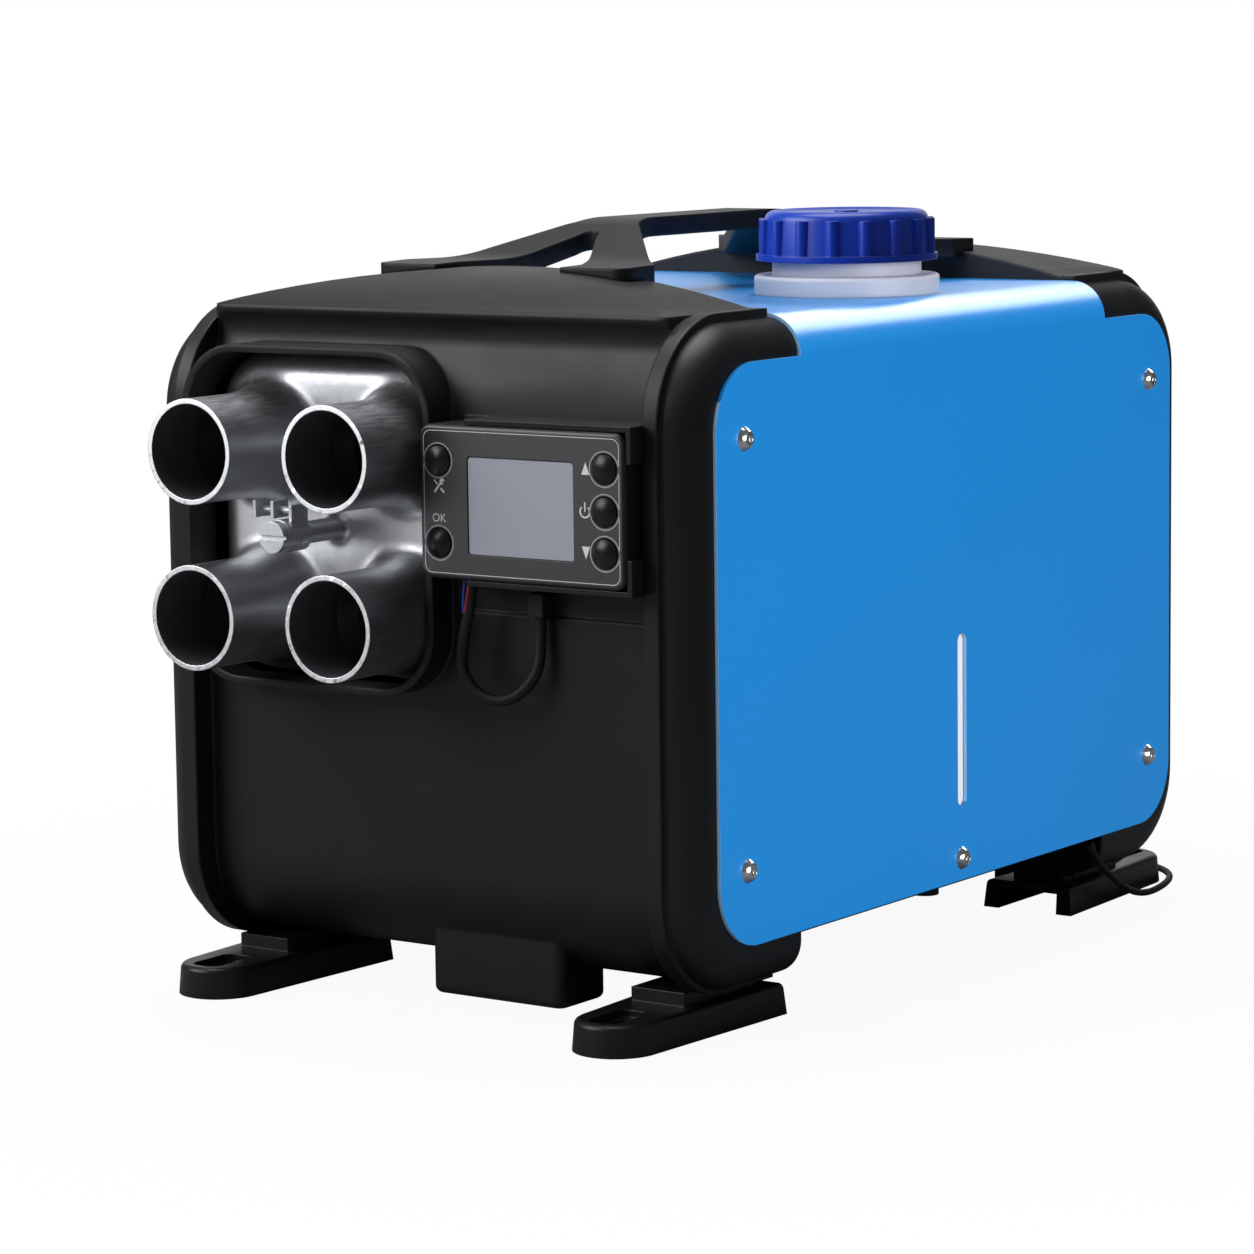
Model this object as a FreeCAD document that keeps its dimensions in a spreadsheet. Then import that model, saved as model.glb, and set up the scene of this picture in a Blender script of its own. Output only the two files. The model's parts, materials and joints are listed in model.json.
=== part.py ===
"""Portable parking heater in a carry case: every sub-part of it, in millimetres, +Z up, front to -Y."""
import FreeCAD
import Part
import Sketcher

import math
import os
from types import SimpleNamespace

Vector = FreeCAD.Vector

SIZES = {
    # case as a whole; its width follows from what stands side by side on the front
    "case_wall": 3.0,
    "seam": 121.0,
    "seam_gap": 0.5,
    "overrun": 6.0,
    "slide_gap": 0.3,
    "bead_inset": 20.5,
    "surround_tuck": 1.0,
    "controller_gap": 1.0,
    "controller_edge_gap": 1.2,
    # blue side shell
    "sheet_wall": 1.5,
    "sheet_top": 278.0,
    "bend_radius": 16.0,
    "panel_setback": 15.5,
    "panel_bottom": 36.5,
    "panel_corner": 26.0,
    "level_slot_width": 7.0,
    "level_slot_rise": 31.0,
    "level_slot_length": 72.3,
    # shell bolts
    "bolt_end_inset": 19.5,
    "bolt_low_rise": 29.8,
    "bolt_high_drop": 45.0,
    "bolt_middle_rise": 9.2,
    "bolt_head_radius": 4.9,
    "bolt_head_height": 2.6,
    "bolt_crown_radius": 2.4,
    "bolt_shank_radius": 2.5,
    "bolt_length": 4.4,
    "bolt_play": 0.1,
    "bolt_socket_radius": 1.6,
    "bolt_socket_depth": 1.4,
    # covers
    "nose_front": 195.0,
    "nose_bottom": 18.0,
    "nose_corner": 40.0,
    "bead_stand": 2.0,
    "bead_width": 7.0,
    "face_depth": 9.0,
    "face_drop": 42.0,
    "lean_depth": 8.0,
    "lean_drop": 16.0,
    "cove_radius": 12.0,
    "crease_depth": 14.5,
    "crease_rise": 0.5,
    "roof_radius": 100.0,
    "roof_flat_run": 9.0,
    "roof_rise": 16.0,
    "arch_rise": 1.5,
    "cavity_corner_step": 3.0,
    "pan_lip": 8.0,
    "pan_lift": 12.0,
    # outlet opening in the front cover
    "opening_left_margin": 30.2,
    "opening_right_margin": 21.5,
    "opening_low_margin": 28.0,
    "opening_high_margin": 37.0,
    "opening_corner": 24.0,
    "surround_wall": 3.0,
    "surround_depth": 21.0,
    "surround_stand": 4.0,
    # seat for the controller and box under the front
    "seat_left_inset": 3.0,
    "seat_right_reach": 0.7,
    "seat_low_reach": 15.1,
    "seat_high_reach": 8.1,
    "seat_depth": 1.2,
    "sump_left": 8.5,
    "sump_right": 57.0,
    "sump_setback": 18.0,
    "sump_depth": 31.0,
    "sump_drop": 12.5,
    "sump_root_rise": 22.0,
    "sump_corner": 5.0,
    # base pan
    "pan_wall": 1.5,
    "pan_slope_width": 14.5,
    "pan_slope_rise": 7.0,
    "pan_flange_rise": 30.0,
    "pan_tongue_inset": 22.5,
    # feet
    "foot_inset": 33.5,
    "foot_reach": 22.0,
    "foot_inner_run": 7.0,
    "foot_tip_half": 17.5,
    "foot_inner_half": 22.0,
    "foot_height": 12.5,
    "foot_edge": 2.5,
    "foot_wall": 3.0,
    "foot_web": 3.5,
    "foot_solid_length": 31.0,
    "foot_pad_half": 12.5,
    "foot_pad_setback": 23.0,
    "foot_pad_run": 3.0,
    "foot_slot_inset": 18.0,
    "foot_slot_width": 7.0,
    "foot_slot_length": 18.0,
    "foot_recess_width": 14.0,
    "foot_recess_length": 25.0,
    "foot_recess_depth": 3.0,
    "foot_screw_run": 26.0,
    "foot_screw_radius": 3.0,
    "foot_screw_head": 5.5,
    "foot_screw_head_height": 4.0,
    "foot_screw_reach": 9.0,
    # carry handle; its rises are measured from the crest of the roof
    "handle_foot_rise": 0.8,
    "handle_foot_run": 15.0,
    "handle_leg_low": 104.0,
    "handle_leg_low_rise": 1.6,
    "handle_leg_start": 88.0,
    "handle_leg_start_rise": 5.2,
    "handle_leg_end": 63.0,
    "handle_leg_end_rise": 14.0,
    "handle_crown": 44.0,
    "handle_crown_rise": 16.6,
    "handle_crown_arc": 62.0,
    "handle_heel_arc": 48.0,
    "handle_thickness": 8.0,
    "handle_grip_half": 12.0,
    "handle_neck_half": 16.0,
    "handle_neck_y": 60.0,
    "handle_pad_outer": 62.0,
    "handle_pad_inner": 31.0,
    "handle_fork_half": 5.0,
    "handle_fork_y": 74.0,
    "handle_flare_arc": 60.0,
    "handle_corner": 6.0,
    "handle_drop": 24.0,
    "handle_screw_inset": 15.0,
    "handle_screw_run": 8.0,
    "handle_screw_radius": 2.5,
    "handle_screw_head": 5.0,
    "handle_screw_head_height": 3.0,
    "handle_screw_cover": 0.4,
    # tank and filler
    "tank_unit_gap": 10.65,
    "tank_side_gap": 3.5,
    "tank_end_gap": 45.0,
    "tank_top_gap": 28.0,
    "tank_corner": 22.0,
    "tank_edge": 17.5,
    "tank_wall": 3.0,
    "neck_inset": 54.0,
    "neck_y": 6.5,
    "neck_radius": 31.0,
    "neck_wall": 5.6,
    "neck_thread_step": 2.2,
    "neck_rise": 28.0,
    "filler_gap": 1.0,
    "collar_width": 7.3,
    "collar_play": 0.2,
    "collar_height": 8.0,
    "collar_edge": 1.6,
    "cap_rise": 14.0,
    "cap_play": 0.6,
    "cap_rim_width": 6.15,
    "cap_rim_height": 2.6,
    "cap_skirt_wall": 3.2,
    "cap_taper": 0.8,
    "cap_crown": 4.0,
    "cap_edge": 4.0,
    "cap_rib_radius": 2.6,
    "cap_rib_sink": 0.4,
    "cap_rib_drop": 3.5,
    "cap_mark_radius": 5.0,
    "cap_mark_height": 0.6,
    "cap_dish_inset": 6.0,
    "cap_dish_depth": 0.8,
    "seal_height": 2.5,
    "seal_play": 0.6,
    "seal_overlap": 3.4,
    "drain_inset": 34.0,
    "drain_y": 34.0,
    "drain_head_radius": 6.0,
    "drain_head_height": 9.0,
    "drain_shank_radius": 4.0,
    # warm air outlets
    "outlet_drop": 86.0,
    "outlet_pitch_x": 68.3,
    "outlet_pitch_z": 66.0,
    "outlet_radius": 21.0,
    "outlet_wall": 2.0,
    "outlet_reach": 39.0,
    "outlet_straight_length": 26.0,
    "outlet_flare": 6.0,
    "outlet_root_depth": 6.0,
    "plenum_setback": 8.0,
    "plenum_depth": 28.0,
    "plenum_edge": 9.0,
    "plenum_gap": 0.8,
    "stud_radius": 4.5,
    "stud_length": 30.0,
    "clamp_radius": 6.6,
    "clamp_length": 13.0,
    "clamp_bore": 2.6,
    "clamp_screw_radius": 2.5,
    "clamp_head_radius": 6.3,
    "clamp_head_height": 4.4,
    "clamp_slot_width": 1.4,
    "clamp_slot_depth": 1.6,
    "clamp_ear_x": 4.2,
    "clamp_ear_wall": 1.5,
    "clamp_ear_start": 1.5,
    "clamp_ear_depth": 10.0,
    "clamp_ear_top": 12.5,
    "clip_left": 12.0,
    "clip_wall": 1.6,
    "clip_low": 7.2,
    "clip_high": 14.0,
    "clip_start": 5.0,
    "clip_depth": 9.0,
    "clip_span": 9.0,
    "clip_bar_radius": 1.5,
    "clip_bar_z": 10.2,
    # heater unit
    "case_half": 55.0,
    "case_half_height": 60.0,
    "case_rear": 150.0,
    "case_shell": 2.5,
    "case_corner": 20.0,
    "exchanger_front": 140.0,
    "exchanger_back": 10.0,
    "exchanger_radius": 38.0,
    "exchanger_fin_wall": 2.4,
    "exchanger_wall": 3.0,
    "chamber_lining": 5.0,
    "chamber_front": 60.0,
    "chamber_back": 30.0,
    "glow_radius": 5.0,
    "glow_length": 17.0,
    "glow_y": 20.0,
    "burner_wheel_front": 44.0,
    "burner_wheel_depth": 9.0,
    "burner_wheel_hub": 14.0,
    "burner_wheel_tip": 30.0,
    "motor_front": 58.0,
    "motor_depth": 40.0,
    "motor_radius": 28.0,
    "motor_arm_width": 8.0,
    "motor_arm_depth": 6.0,
    "shaft_radius": 3.0,
    "shaft_play": 0.05,
    "shaft_front": 40.0,
    "fan_front": 104.0,
    "fan_depth": 26.0,
    "fan_hub": 20.0,
    "fan_tip_gap": 5.5,
    "blade_wall": 2.0,
    "unit_board_left": 30.0,
    "unit_board_front": 52.0,
    "unit_board_back": 100.0,
    "unit_board_wall": 1.6,
    "unit_board_drop": 4.0,
    "sensor_half": 6.0,
    "sensor_height": 5.0,
    "sensor_y": 80.0,
    "gasket_height": 2.0,
    "stand_wall": 2.0,
    "stand_half": 40.0,
    "stand_front": 20.0,
    "stand_back": 70.0,
    "gasket_half": 34.0,
    "pipe_y": 40.0,
    "pipe_spread": 20.0,
    "exhaust_radius": 12.0,
    "intake_radius": 12.5,
    "pipe_wall": 1.5,
    "pipe_drop": 18.0,
    "pipe_step_drop": 1.0,
    "pipe_step_wall": 0.6,
    "pipe_hole_gap": 2.0,
    "duct_margin": 13.0,
    "duct_wall": 3.7,
    "duct_play": 0.3,
    "duct_flange_width": 11.0,
    "duct_flange_wall": 3.0,
    "guard_bar": 4.0,
    "guard_depth": 5.0,
    "guard_ring": 22.0,
    "guard_ring_width": 4.0,
    # fuel pump and hoses
    "pump_inset": 27.5,
    "pump_rise": 36.0,
    "pump_radius": 13.0,
    "pump_front": 83.0,
    "pump_length": 62.0,
    "pump_nose_radius": 4.0,
    "pump_nose_length": 12.0,
    "pump_mount_front": 60.0,
    "pump_mount_depth": 22.0,
    "pump_mount_inset": 1.7,
    "hose_radius": 3.0,
    # controller
    "panel_drop": 70.0,
    "panel_width": 96.8,
    "panel_height": 59.8,
    "panel_round": 5.0,
    "bracket_left_inset": 8.0,
    "bracket_right_inset": 6.8,
    "bracket_depth": 3.2,
    "bracket_wall": 2.0,
    "bracket_arm_inset": 21.2,
    "bracket_arm_reach": 0.6,
    "bracket_arm_setback": 1.0,
    "bracket_gap": 0.25,
    "ear_reach": 2.4,
    "ear_depth": 8.2,
    "ear_height": 14.0,
    "controller_depth": 15.0,
    "bezel_depth": 4.0,
    "bezel_face": 2.0,
    "bezel_edge": 1.6,
    "shell_wall": 2.0,
    "window_left_margin": 23.1,
    "window_right_margin": 23.6,
    "window_low_margin": 10.0,
    "window_high_margin": 11.9,
    "window_round": 1.5,
    "glass_gap": 0.25,
    "glass_setback": 0.4,
    "screen_margin": 3.0,
    "screen_depth": 5.9,
    "circuit_wall": 1.6,
    "circuit_margin": 3.2,
    "circuit_post_radius": 2.5,
    "circuit_post_inset": 8.0,
    "key_radius": 5.65,
    "key_play": 0.3,
    "key_dome": 2.0,
    "key_stand": 0.4,
    "key_depth": 4.6,
    "key_flange_width": 0.95,
    "key_flange_wall": 1.0,
    "key_side_inset": 9.15,
    "key_end_inset": 13.9,
    "key_middle_drop": 0.2,
    # controller cable
    "connector_left_run": 7.4,
    "connector_width": 7.5,
    "connector_drop": 5.1,
    "connector_height": 9.4,
    "connector_depth": 9.2,
    "connector_edge": 1.0,
    "cable_radius": 2.25,
    # power lead
    "lead_radius": 1.5,
    "gland_side_gap": 1.5,
    "gland_seam_gap": 10.1,
    "gland_rise": 4.2,
    "gland_radius": 2.4,
    "gland_length": 9.0,
    "coil_x": 25.0,
    "coil_y": 205.0,
    "coil_lift": 1.2,
    "coil_radius": 25.0,
    "coil_pitch": 3.85,
    "coil_layer": 3.9,
    "coil_tail": 23.0,
    "tie_width": 4.0,
    "tie_wall": 0.9,
    "tie_play": 0.15,
    "plug_length": 24.0,
    "plug_width": 14.0,
    "plug_height": 13.0,
    "plug_pin_radius": 1.2,
    "plug_pin_length": 6.0,
    "plug_pin_half": 3.4,
}

# counts, angles and shares
CAP_RIBS = 16
EXCHANGER_FINS = 12
FAN_BLADES = 9
WHEEL_BLADES = 8
COIL_TURNS = 4
FOOT_DRAFT = -5.0
GLAND_TILT = 135.0
BEND_SHARE = 0.45
EVEN_SHARE = 0.5
SNAP_SHARE = 0.002

# hand-chosen centre lines, in millimetres, each measured from the place named
CABLE_FROM_PANEL = (
    (-30.1, -14.2, 0.0),
    (-30.1, -14.2, -9.1),
    (-34.6, -14.1, -23.6),
    (-36.4, -13.7, -37.9),
    (-26.7, -12.8, -47.6),
    (-13.4, -11.2, -47.6),
    (-3.5, -7.8, -37.2),
    (-3.6, -5.2, -25.1),
    (-3.6, -5.2, -14.5),
)
LEAD_FROM_GLAND = (
    (0.0, 3.18, -3.18),
    (0.0, 8.1, -8.1),
    (0.1, 16.1, -15.0),
    (-0.3, 26.6, -21.2),
    (-1.1, 37.7, -26.7),
)
LEAD_ON_FLOOR = (
    (129.0, 160.6, 3.4),
    (128.0, 174.0, 1.6),
    (126.0, 188.2, 1.6),
    (122.0, 203.0, 1.6),
    (115.0, 217.0, 1.6),
    (103.5, 228.0, 1.6),
    (88.5, 233.4, 1.6),
    (72.5, 233.0, 1.8),
    (58.0, 230.6, 2.4),
    (44.0, 230.0, 2.7),
    (28.0, 230.0, 2.7),
)
FEED_FROM_TANK = (
    (0.0, 22.0, 30.0),
    (-34.0, 20.5, 30.0),
    (-72.0, 19.0, 31.5),
)
FEED_TO_PUMP = (
    (14.6, -35.0, -2.0),
    (0.0, -20.4, 0.0),
    (0.0, 0.0, 0.0),
)
BURNER_FROM_PUMP = (
    (0.0, 0.0, 0.0),
    (0.2, 19.0, 0.0),
    (3.0, 41.0, 1.0),
    (9.0, 62.5, 4.5),
)
BURNER_TO_UNIT = (
    (-43.35, 73.0, -52.0),
    (-35.35, 84.0, -36.0),
    (-31.75, 87.6, -18.0),
    (-31.35, 88.0, 0.0),
)

doc = FreeCAD.newDocument("ParkingHeater")
sheet = doc.addObject("Spreadsheet::Sheet", "Sizes")
nodes = {}


class Dim:
    """A length known both as a number and as the expression that gives it."""

    def __init__(self, value, text):
        self.value = value
        self.text = text

    def _join(self, other, sign, value):
        other_text = other.text if isinstance(other, Dim) else repr(other)
        return Dim(value, f"({self.text} {sign} {other_text})")

    def __add__(self, other):
        return self._join(other, "+", self.value + other.value)

    def __sub__(self, other):
        return self._join(other, "-", self.value - other.value)

    def __mul__(self, other):
        factor = other.value if isinstance(other, Dim) else other
        return self._join(other, "*", self.value * factor)

    def __truediv__(self, other):
        factor = other.value if isinstance(other, Dim) else other
        return self._join(other, "/", self.value / factor)

    def __neg__(self):
        return Dim(-self.value, f"(0 - {self.text})")


for row, (size_name, size_value) in enumerate(SIZES.items(), start=1):
    sheet.set(f"A{row}", size_name)
    sheet.set(f"B{row}", str(size_value))
    sheet.setAlias(f"B{row}", size_name)
doc.recompute()
S = SimpleNamespace(**{name: Dim(value, f"Sizes.{name}") for name, value in SIZES.items()})
ZERO = Dim(0.0, "0")

# width of the case, from the outlets and the controller side by side between the two beads
S.opening_width = S.opening_left_margin + S.outlet_pitch_x + S.opening_right_margin
S.bead_inner = (S.opening_width + S.surround_wall * 2 - S.surround_tuck + S.controller_gap + S.panel_width
                + S.controller_edge_gap) / 2
S.body_half = S.bead_inner + S.bead_inset
S.opening_left = S.bead_inner + S.surround_tuck - S.surround_wall
S.opening_right = S.opening_width - S.opening_left
S.outlet_x = S.opening_left - S.opening_left_margin - S.outlet_pitch_x / 2

# covers and side shell
S.panel_half = S.nose_front - S.panel_setback
S.level_slot_low = S.panel_bottom + S.level_slot_rise
S.level_slot_high = S.level_slot_low + S.level_slot_length
S.bolt_y = S.panel_half - S.bolt_end_inset
S.bolt_low = S.panel_bottom + S.bolt_low_rise
S.bolt_high = S.sheet_top - S.bolt_high_drop
S.bolt_middle = S.panel_bottom + S.bolt_middle_rise
S.bolt_hole_radius = S.bolt_shank_radius + S.bolt_play
S.bead_front = S.nose_front + S.bead_stand
S.bead_top = S.sheet_top + S.bead_stand
S.bead_bottom = S.nose_bottom - S.bead_stand
S.bead_corner = S.nose_corner + S.bead_stand
S.face_front = S.nose_front - S.face_depth
S.face_top = S.sheet_top - S.face_drop
S.lean_back = S.face_front - S.lean_depth
S.lean_top = S.sheet_top - S.lean_drop
S.crease_front = S.nose_front - S.crease_depth
S.crease_height = S.sheet_top + S.crease_rise
S.roof_flat = S.seam + S.roof_flat_run
S.roof_crest = S.sheet_top + S.roof_rise
S.arch_edge = S.sheet_top + S.arch_rise
S.cavity_corner = S.nose_corner - S.cavity_corner_step
S.pan_level = S.nose_bottom + S.pan_lift
S.outlet_z = S.sheet_top - S.outlet_drop
S.opening_low = S.outlet_z - S.outlet_pitch_z / 2 - S.opening_low_margin
S.opening_high = S.outlet_z + S.outlet_pitch_z / 2 + S.opening_high_margin
S.surround_root = S.face_front - S.surround_depth
S.surround_front = S.nose_front + S.surround_stand
S.sump_front = S.nose_front - S.sump_setback
S.sump_back = S.sump_front - S.sump_depth
S.sump_bottom = S.nose_bottom - S.sump_drop
S.sump_root = S.nose_bottom + S.sump_root_rise

# base pan and feet
S.pan_flat_half = S.body_half - S.pan_slope_width
S.pan_rise = S.pan_level + S.pan_slope_rise
S.pan_flange_top = S.pan_level + S.pan_flange_rise
S.pan_tongue_half = S.body_half - S.pan_tongue_inset
S.foot_x = S.body_half - S.foot_inset
S.foot_tip = S.nose_front + S.foot_reach
S.foot_inner = S.seam - S.foot_inner_run
S.foot_solid = S.foot_tip - S.foot_solid_length
S.foot_pad_front = S.nose_front - S.foot_pad_setback
S.foot_pad_back = S.seam + S.foot_pad_run
S.foot_slot_y = S.foot_tip - S.foot_slot_inset
S.foot_screw_y = S.seam + S.foot_screw_run
S.foot_screw_end = S.nose_bottom + S.foot_screw_reach

# carry handle
S.handle_foot_top = S.roof_crest + S.handle_foot_rise
S.handle_leg_low_top = S.roof_crest + S.handle_leg_low_rise
S.handle_leg_start_top = S.roof_crest + S.handle_leg_start_rise
S.handle_leg_end_top = S.roof_crest + S.handle_leg_end_rise
S.handle_crown_top = S.roof_crest + S.handle_crown_rise
S.handle_foot_end = S.seam + S.handle_foot_run
S.handle_screw_x = S.handle_pad_outer - S.handle_screw_inset
S.handle_screw_y = S.seam + S.handle_screw_run
S.handle_screw_end = S.roof_crest - S.handle_screw_cover

# tank and filler
S.tank_left = S.case_half - S.outlet_x + S.tank_unit_gap
S.tank_right = S.body_half - S.tank_side_gap
S.tank_half = S.nose_front - S.tank_end_gap
S.tank_top = S.sheet_top - S.tank_top_gap
S.neck_x = S.tank_right - S.neck_inset
S.neck_bore = S.neck_radius - S.neck_wall
S.neck_thread_radius = S.neck_radius - S.neck_thread_step
S.neck_top = S.sheet_top + S.neck_rise
S.filler_hole_radius = S.neck_radius + S.filler_gap
S.collar_bore = S.neck_radius + S.collar_play
S.collar_radius = S.collar_bore + S.collar_width
S.cap_bottom = S.sheet_top + S.cap_rise
S.cap_bore = S.neck_radius + S.cap_play
S.cap_rim_radius = S.cap_bore + S.cap_rim_width
S.cap_body_radius = S.cap_bore + S.cap_skirt_wall
S.cap_top_radius = S.cap_body_radius - S.cap_taper
S.cap_inner_height = S.neck_top - S.cap_bottom + S.seal_height
S.cap_height = S.cap_inner_height + S.cap_crown
S.cap_rib_circle = S.cap_body_radius - S.cap_rib_sink
S.cap_rib_top = S.cap_height - S.cap_rib_drop
S.cap_dish_radius = S.cap_top_radius - S.cap_dish_inset
S.seal_radius = S.cap_bore - S.seal_play
S.seal_bore = S.neck_bore - S.seal_overlap
S.drain_x = S.tank_right - S.drain_inset
S.drain_head_bottom = S.pan_level - S.drain_head_height

# warm air outlets
S.outlet_front = S.nose_front + S.outlet_reach
S.outlet_straight = S.outlet_front - S.outlet_straight_length
S.outlet_root_radius = S.outlet_radius + S.outlet_flare
S.plenum_front = S.face_front - S.plenum_setback
S.plenum_back = S.plenum_front - S.plenum_depth
S.outlet_root = S.plenum_front - S.outlet_root_depth
S.stud_front = S.plenum_front + S.stud_length
S.clamp_front = S.stud_front + S.clamp_length
S.clamp_ear_back = S.stud_front + S.clamp_ear_start
S.clamp_ear_front = S.clamp_ear_back + S.clamp_ear_depth
S.clip_back = S.stud_front + S.clip_start
S.clip_front = S.clip_back + S.clip_depth

# heater unit, pump and intake
S.exchanger_fin_tip = S.case_half - S.case_shell
S.chamber_radius = S.exchanger_radius - S.exchanger_wall - S.chamber_lining
S.motor_arm = S.case_half - S.case_shell
S.shaft_bore = S.shaft_radius + S.shaft_play
S.fan_tip = S.case_half - S.case_shell - S.fan_tip_gap
S.stand_top = S.outlet_z - S.case_half_height - S.gasket_height
S.pipe_end = S.pan_level - S.pipe_drop
S.pipe_step = S.pan_level - S.pipe_step_drop
S.duct_bore = S.case_half - S.duct_margin
S.duct_radius = S.duct_bore + S.duct_wall
S.duct_hole = S.duct_radius + S.duct_play
S.duct_flange = S.duct_bore + S.duct_flange_width
S.duct_end = S.outlet_front
S.pump_x = S.body_half - S.pump_inset
S.pump_z = S.pan_level + S.pump_rise
S.pump_mount_half = S.pump_radius - S.pump_mount_inset

# controller and its cable
S.panel_right = S.bead_inner - S.controller_edge_gap
S.panel_left = S.panel_right - S.panel_width
S.panel_x = S.panel_right - S.panel_width / 2
S.panel_z = S.sheet_top - S.panel_drop
S.panel_low = S.panel_z - S.panel_height / 2
S.panel_high = S.panel_z + S.panel_height / 2
S.seat_left = S.panel_left + S.seat_left_inset
S.seat_right = S.panel_right + S.seat_right_reach
S.seat_low = S.panel_low - S.seat_low_reach
S.seat_high = S.panel_high + S.seat_high_reach
S.bracket_left = S.panel_left + S.bracket_left_inset
S.bracket_right = S.panel_right - S.bracket_right_inset
S.bracket_back = S.face_front - S.seat_depth
S.bracket_front = S.bracket_back + S.bracket_depth
S.bracket_arm_left = S.panel_left + S.bracket_arm_inset
S.bracket_arm_right = S.panel_right + S.bracket_arm_reach
S.case_front = S.bracket_front + S.controller_depth
S.bezel_front = S.case_front + S.bezel_depth
S.bracket_arm_front = S.bezel_front - S.bracket_arm_setback
S.ear_right = S.panel_right + S.ear_reach
S.ear_back = S.bracket_arm_front - S.ear_depth
S.window_left = S.panel_left + S.window_left_margin
S.window_right = S.panel_right - S.window_right_margin
S.window_low = S.panel_low + S.window_low_margin
S.window_high = S.panel_high - S.window_high_margin
S.glass_front = S.bezel_front - S.glass_setback
S.screen_back = S.bezel_front - S.screen_depth
S.circuit_back = S.screen_back - S.circuit_wall
S.key_hole = S.key_radius + S.key_play
S.key_back = S.bezel_front - S.key_depth
S.key_flange = S.key_radius + S.key_flange_width
S.key_left_x = S.panel_left + S.key_side_inset
S.key_right_x = S.panel_right - S.key_side_inset
S.key_top_z = S.panel_high - S.key_end_inset
S.key_middle_z = S.panel_z - S.key_middle_drop
S.key_low_z = S.panel_low + S.key_end_inset
S.connector_left = S.panel_x - S.connector_left_run
S.connector_right = S.connector_left + S.connector_width
S.connector_high = S.panel_low - S.connector_drop
S.connector_low = S.connector_high - S.connector_height
S.connector_front = S.bracket_back + S.connector_depth

# power lead
S.gland_x = S.body_half - S.gland_side_gap
S.gland_y = S.seam - S.gland_seam_gap
S.gland_z = S.pan_level + S.gland_rise


class Ring:
    """A circle in a profile."""

    def __init__(self, x, y, radius):
        self.x = x
        self.y = y
        self.radius = radius


def rect(x_low, x_high, y_low, y_high):
    return [(x_low, y_low), (x_high, y_low), (x_high, y_high), (x_low, y_high)]


def rounded(x_low, x_high, y_low, y_high, corner):
    """A rectangle with four equal round corners."""
    return [
        (x_low + corner, y_low),
        (x_high - corner, y_low, corner, 1),
        (x_high, y_low + corner),
        (x_high, y_high - corner, corner, 1),
        (x_high - corner, y_high),
        (x_low + corner, y_high, corner, 1),
        (x_low, y_high - corner),
        (x_low, y_low + corner, corner, 1),
    ]


def slot_loop(x, y_low, y_high, half):
    """A slot with round ends that runs along the second axis."""
    return [
        (x - half, y_low + half, half, 1),
        (x, y_low, half, 1),
        (x + half, y_low + half),
        (x + half, y_high - half, half, 1),
        (x, y_high, half, 1),
        (x - half, y_high - half),
    ]


def mirrored(half):
    """Closes a half profile that starts and ends on the second axis with its mirror image."""
    back = []
    for index in range(len(half) - 1, -1, -1):
        x, y = half[index][:2]
        arc = half[index - 1][2:] if index > 0 else ()
        back.append((-x, y) + tuple(arc))
    return list(half) + back


def arc_between(here, there, radius, turn):
    """The shorter arc from one point to the other: turn 1 runs anticlockwise, -1 clockwise."""
    chord = there - here
    side = Vector(-chord.y, chord.x, 0).normalize() * turn
    reach = math.sqrt(max(0.0, radius * radius - chord.Length * chord.Length / 4))
    centre = here + chord * EVEN_SHARE + side * reach
    angles = [math.atan2(p.y - centre.y, p.x - centre.x) for p in (here, there)]
    if turn < 0:
        angles.reverse()
    if angles[1] < angles[0]:
        angles[1] += 2 * math.pi
    return Part.ArcOfCircle(Part.Circle(centre, Vector(0, 0, 1), radius), angles[0], angles[1])


def bind(sketch, constraint, dim):
    index = sketch.addConstraint(constraint)
    sketch.setExpression(f"Constraints[{index}]", dim.text)


def pin_point(sketch, geometry, position, x, y):
    bind(sketch, Sketcher.Constraint("DistanceX", -1, 1, geometry, position, x.value), x)
    bind(sketch, Sketcher.Constraint("DistanceY", -1, 1, geometry, position, y.value), y)


def draw(sketch, loop):
    """Draws one closed loop; a vertex with a radius and a turn starts an arc to the next vertex."""
    first = sketch.GeometryCount
    if isinstance(loop, Ring):
        centre = Vector(loop.x.value, loop.y.value, 0)
        sketch.addGeometry(Part.Circle(centre, Vector(0, 0, 1), loop.radius.value), False)
        pin_point(sketch, first, 3, loop.x, loop.y)
        bind(sketch, Sketcher.Constraint("Radius", first, loop.radius.value), loop.radius)
        return
    count = len(loop)
    ends = []
    for index, vertex in enumerate(loop):
        after = loop[(index + 1) % count]
        here = Vector(vertex[0].value, vertex[1].value, 0)
        there = Vector(after[0].value, after[1].value, 0)
        if len(vertex) == 2:
            sketch.addGeometry(Part.LineSegment(here, there), False)
            ends.append((1, 2))
        else:
            sketch.addGeometry(arc_between(here, there, vertex[2].value, vertex[3]), False)
            ends.append((1, 2) if vertex[3] > 0 else (2, 1))
    for index, vertex in enumerate(loop):
        after = (index + 1) % count
        sketch.addConstraint(
            Sketcher.Constraint("Coincident", first + index, ends[index][1], first + after, ends[after][0]))
        pin_point(sketch, first + index, ends[index][0], vertex[0], vertex[1])
        if len(vertex) > 2:
            bind(sketch, Sketcher.Constraint("Radius", first + index, vertex[2].value), vertex[2])


def new_body(name):
    return doc.addObject("PartDesign::Body", name)


def origin_feature(body, role):
    return next(f for f in body.Origin.OriginFeatures if f.Role == role)


def sketch_on(body, role, loops, offset):
    sketch = body.newObject("Sketcher::SketchObject", "Profile")
    sketch.AttachmentSupport = [(origin_feature(body, role), "")]
    sketch.MapMode = "FlatFace"
    sketch.setExpression(".AttachmentOffset.Base.z", offset.text)
    for loop in loops:
        draw(sketch, loop)
    return sketch


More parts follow.
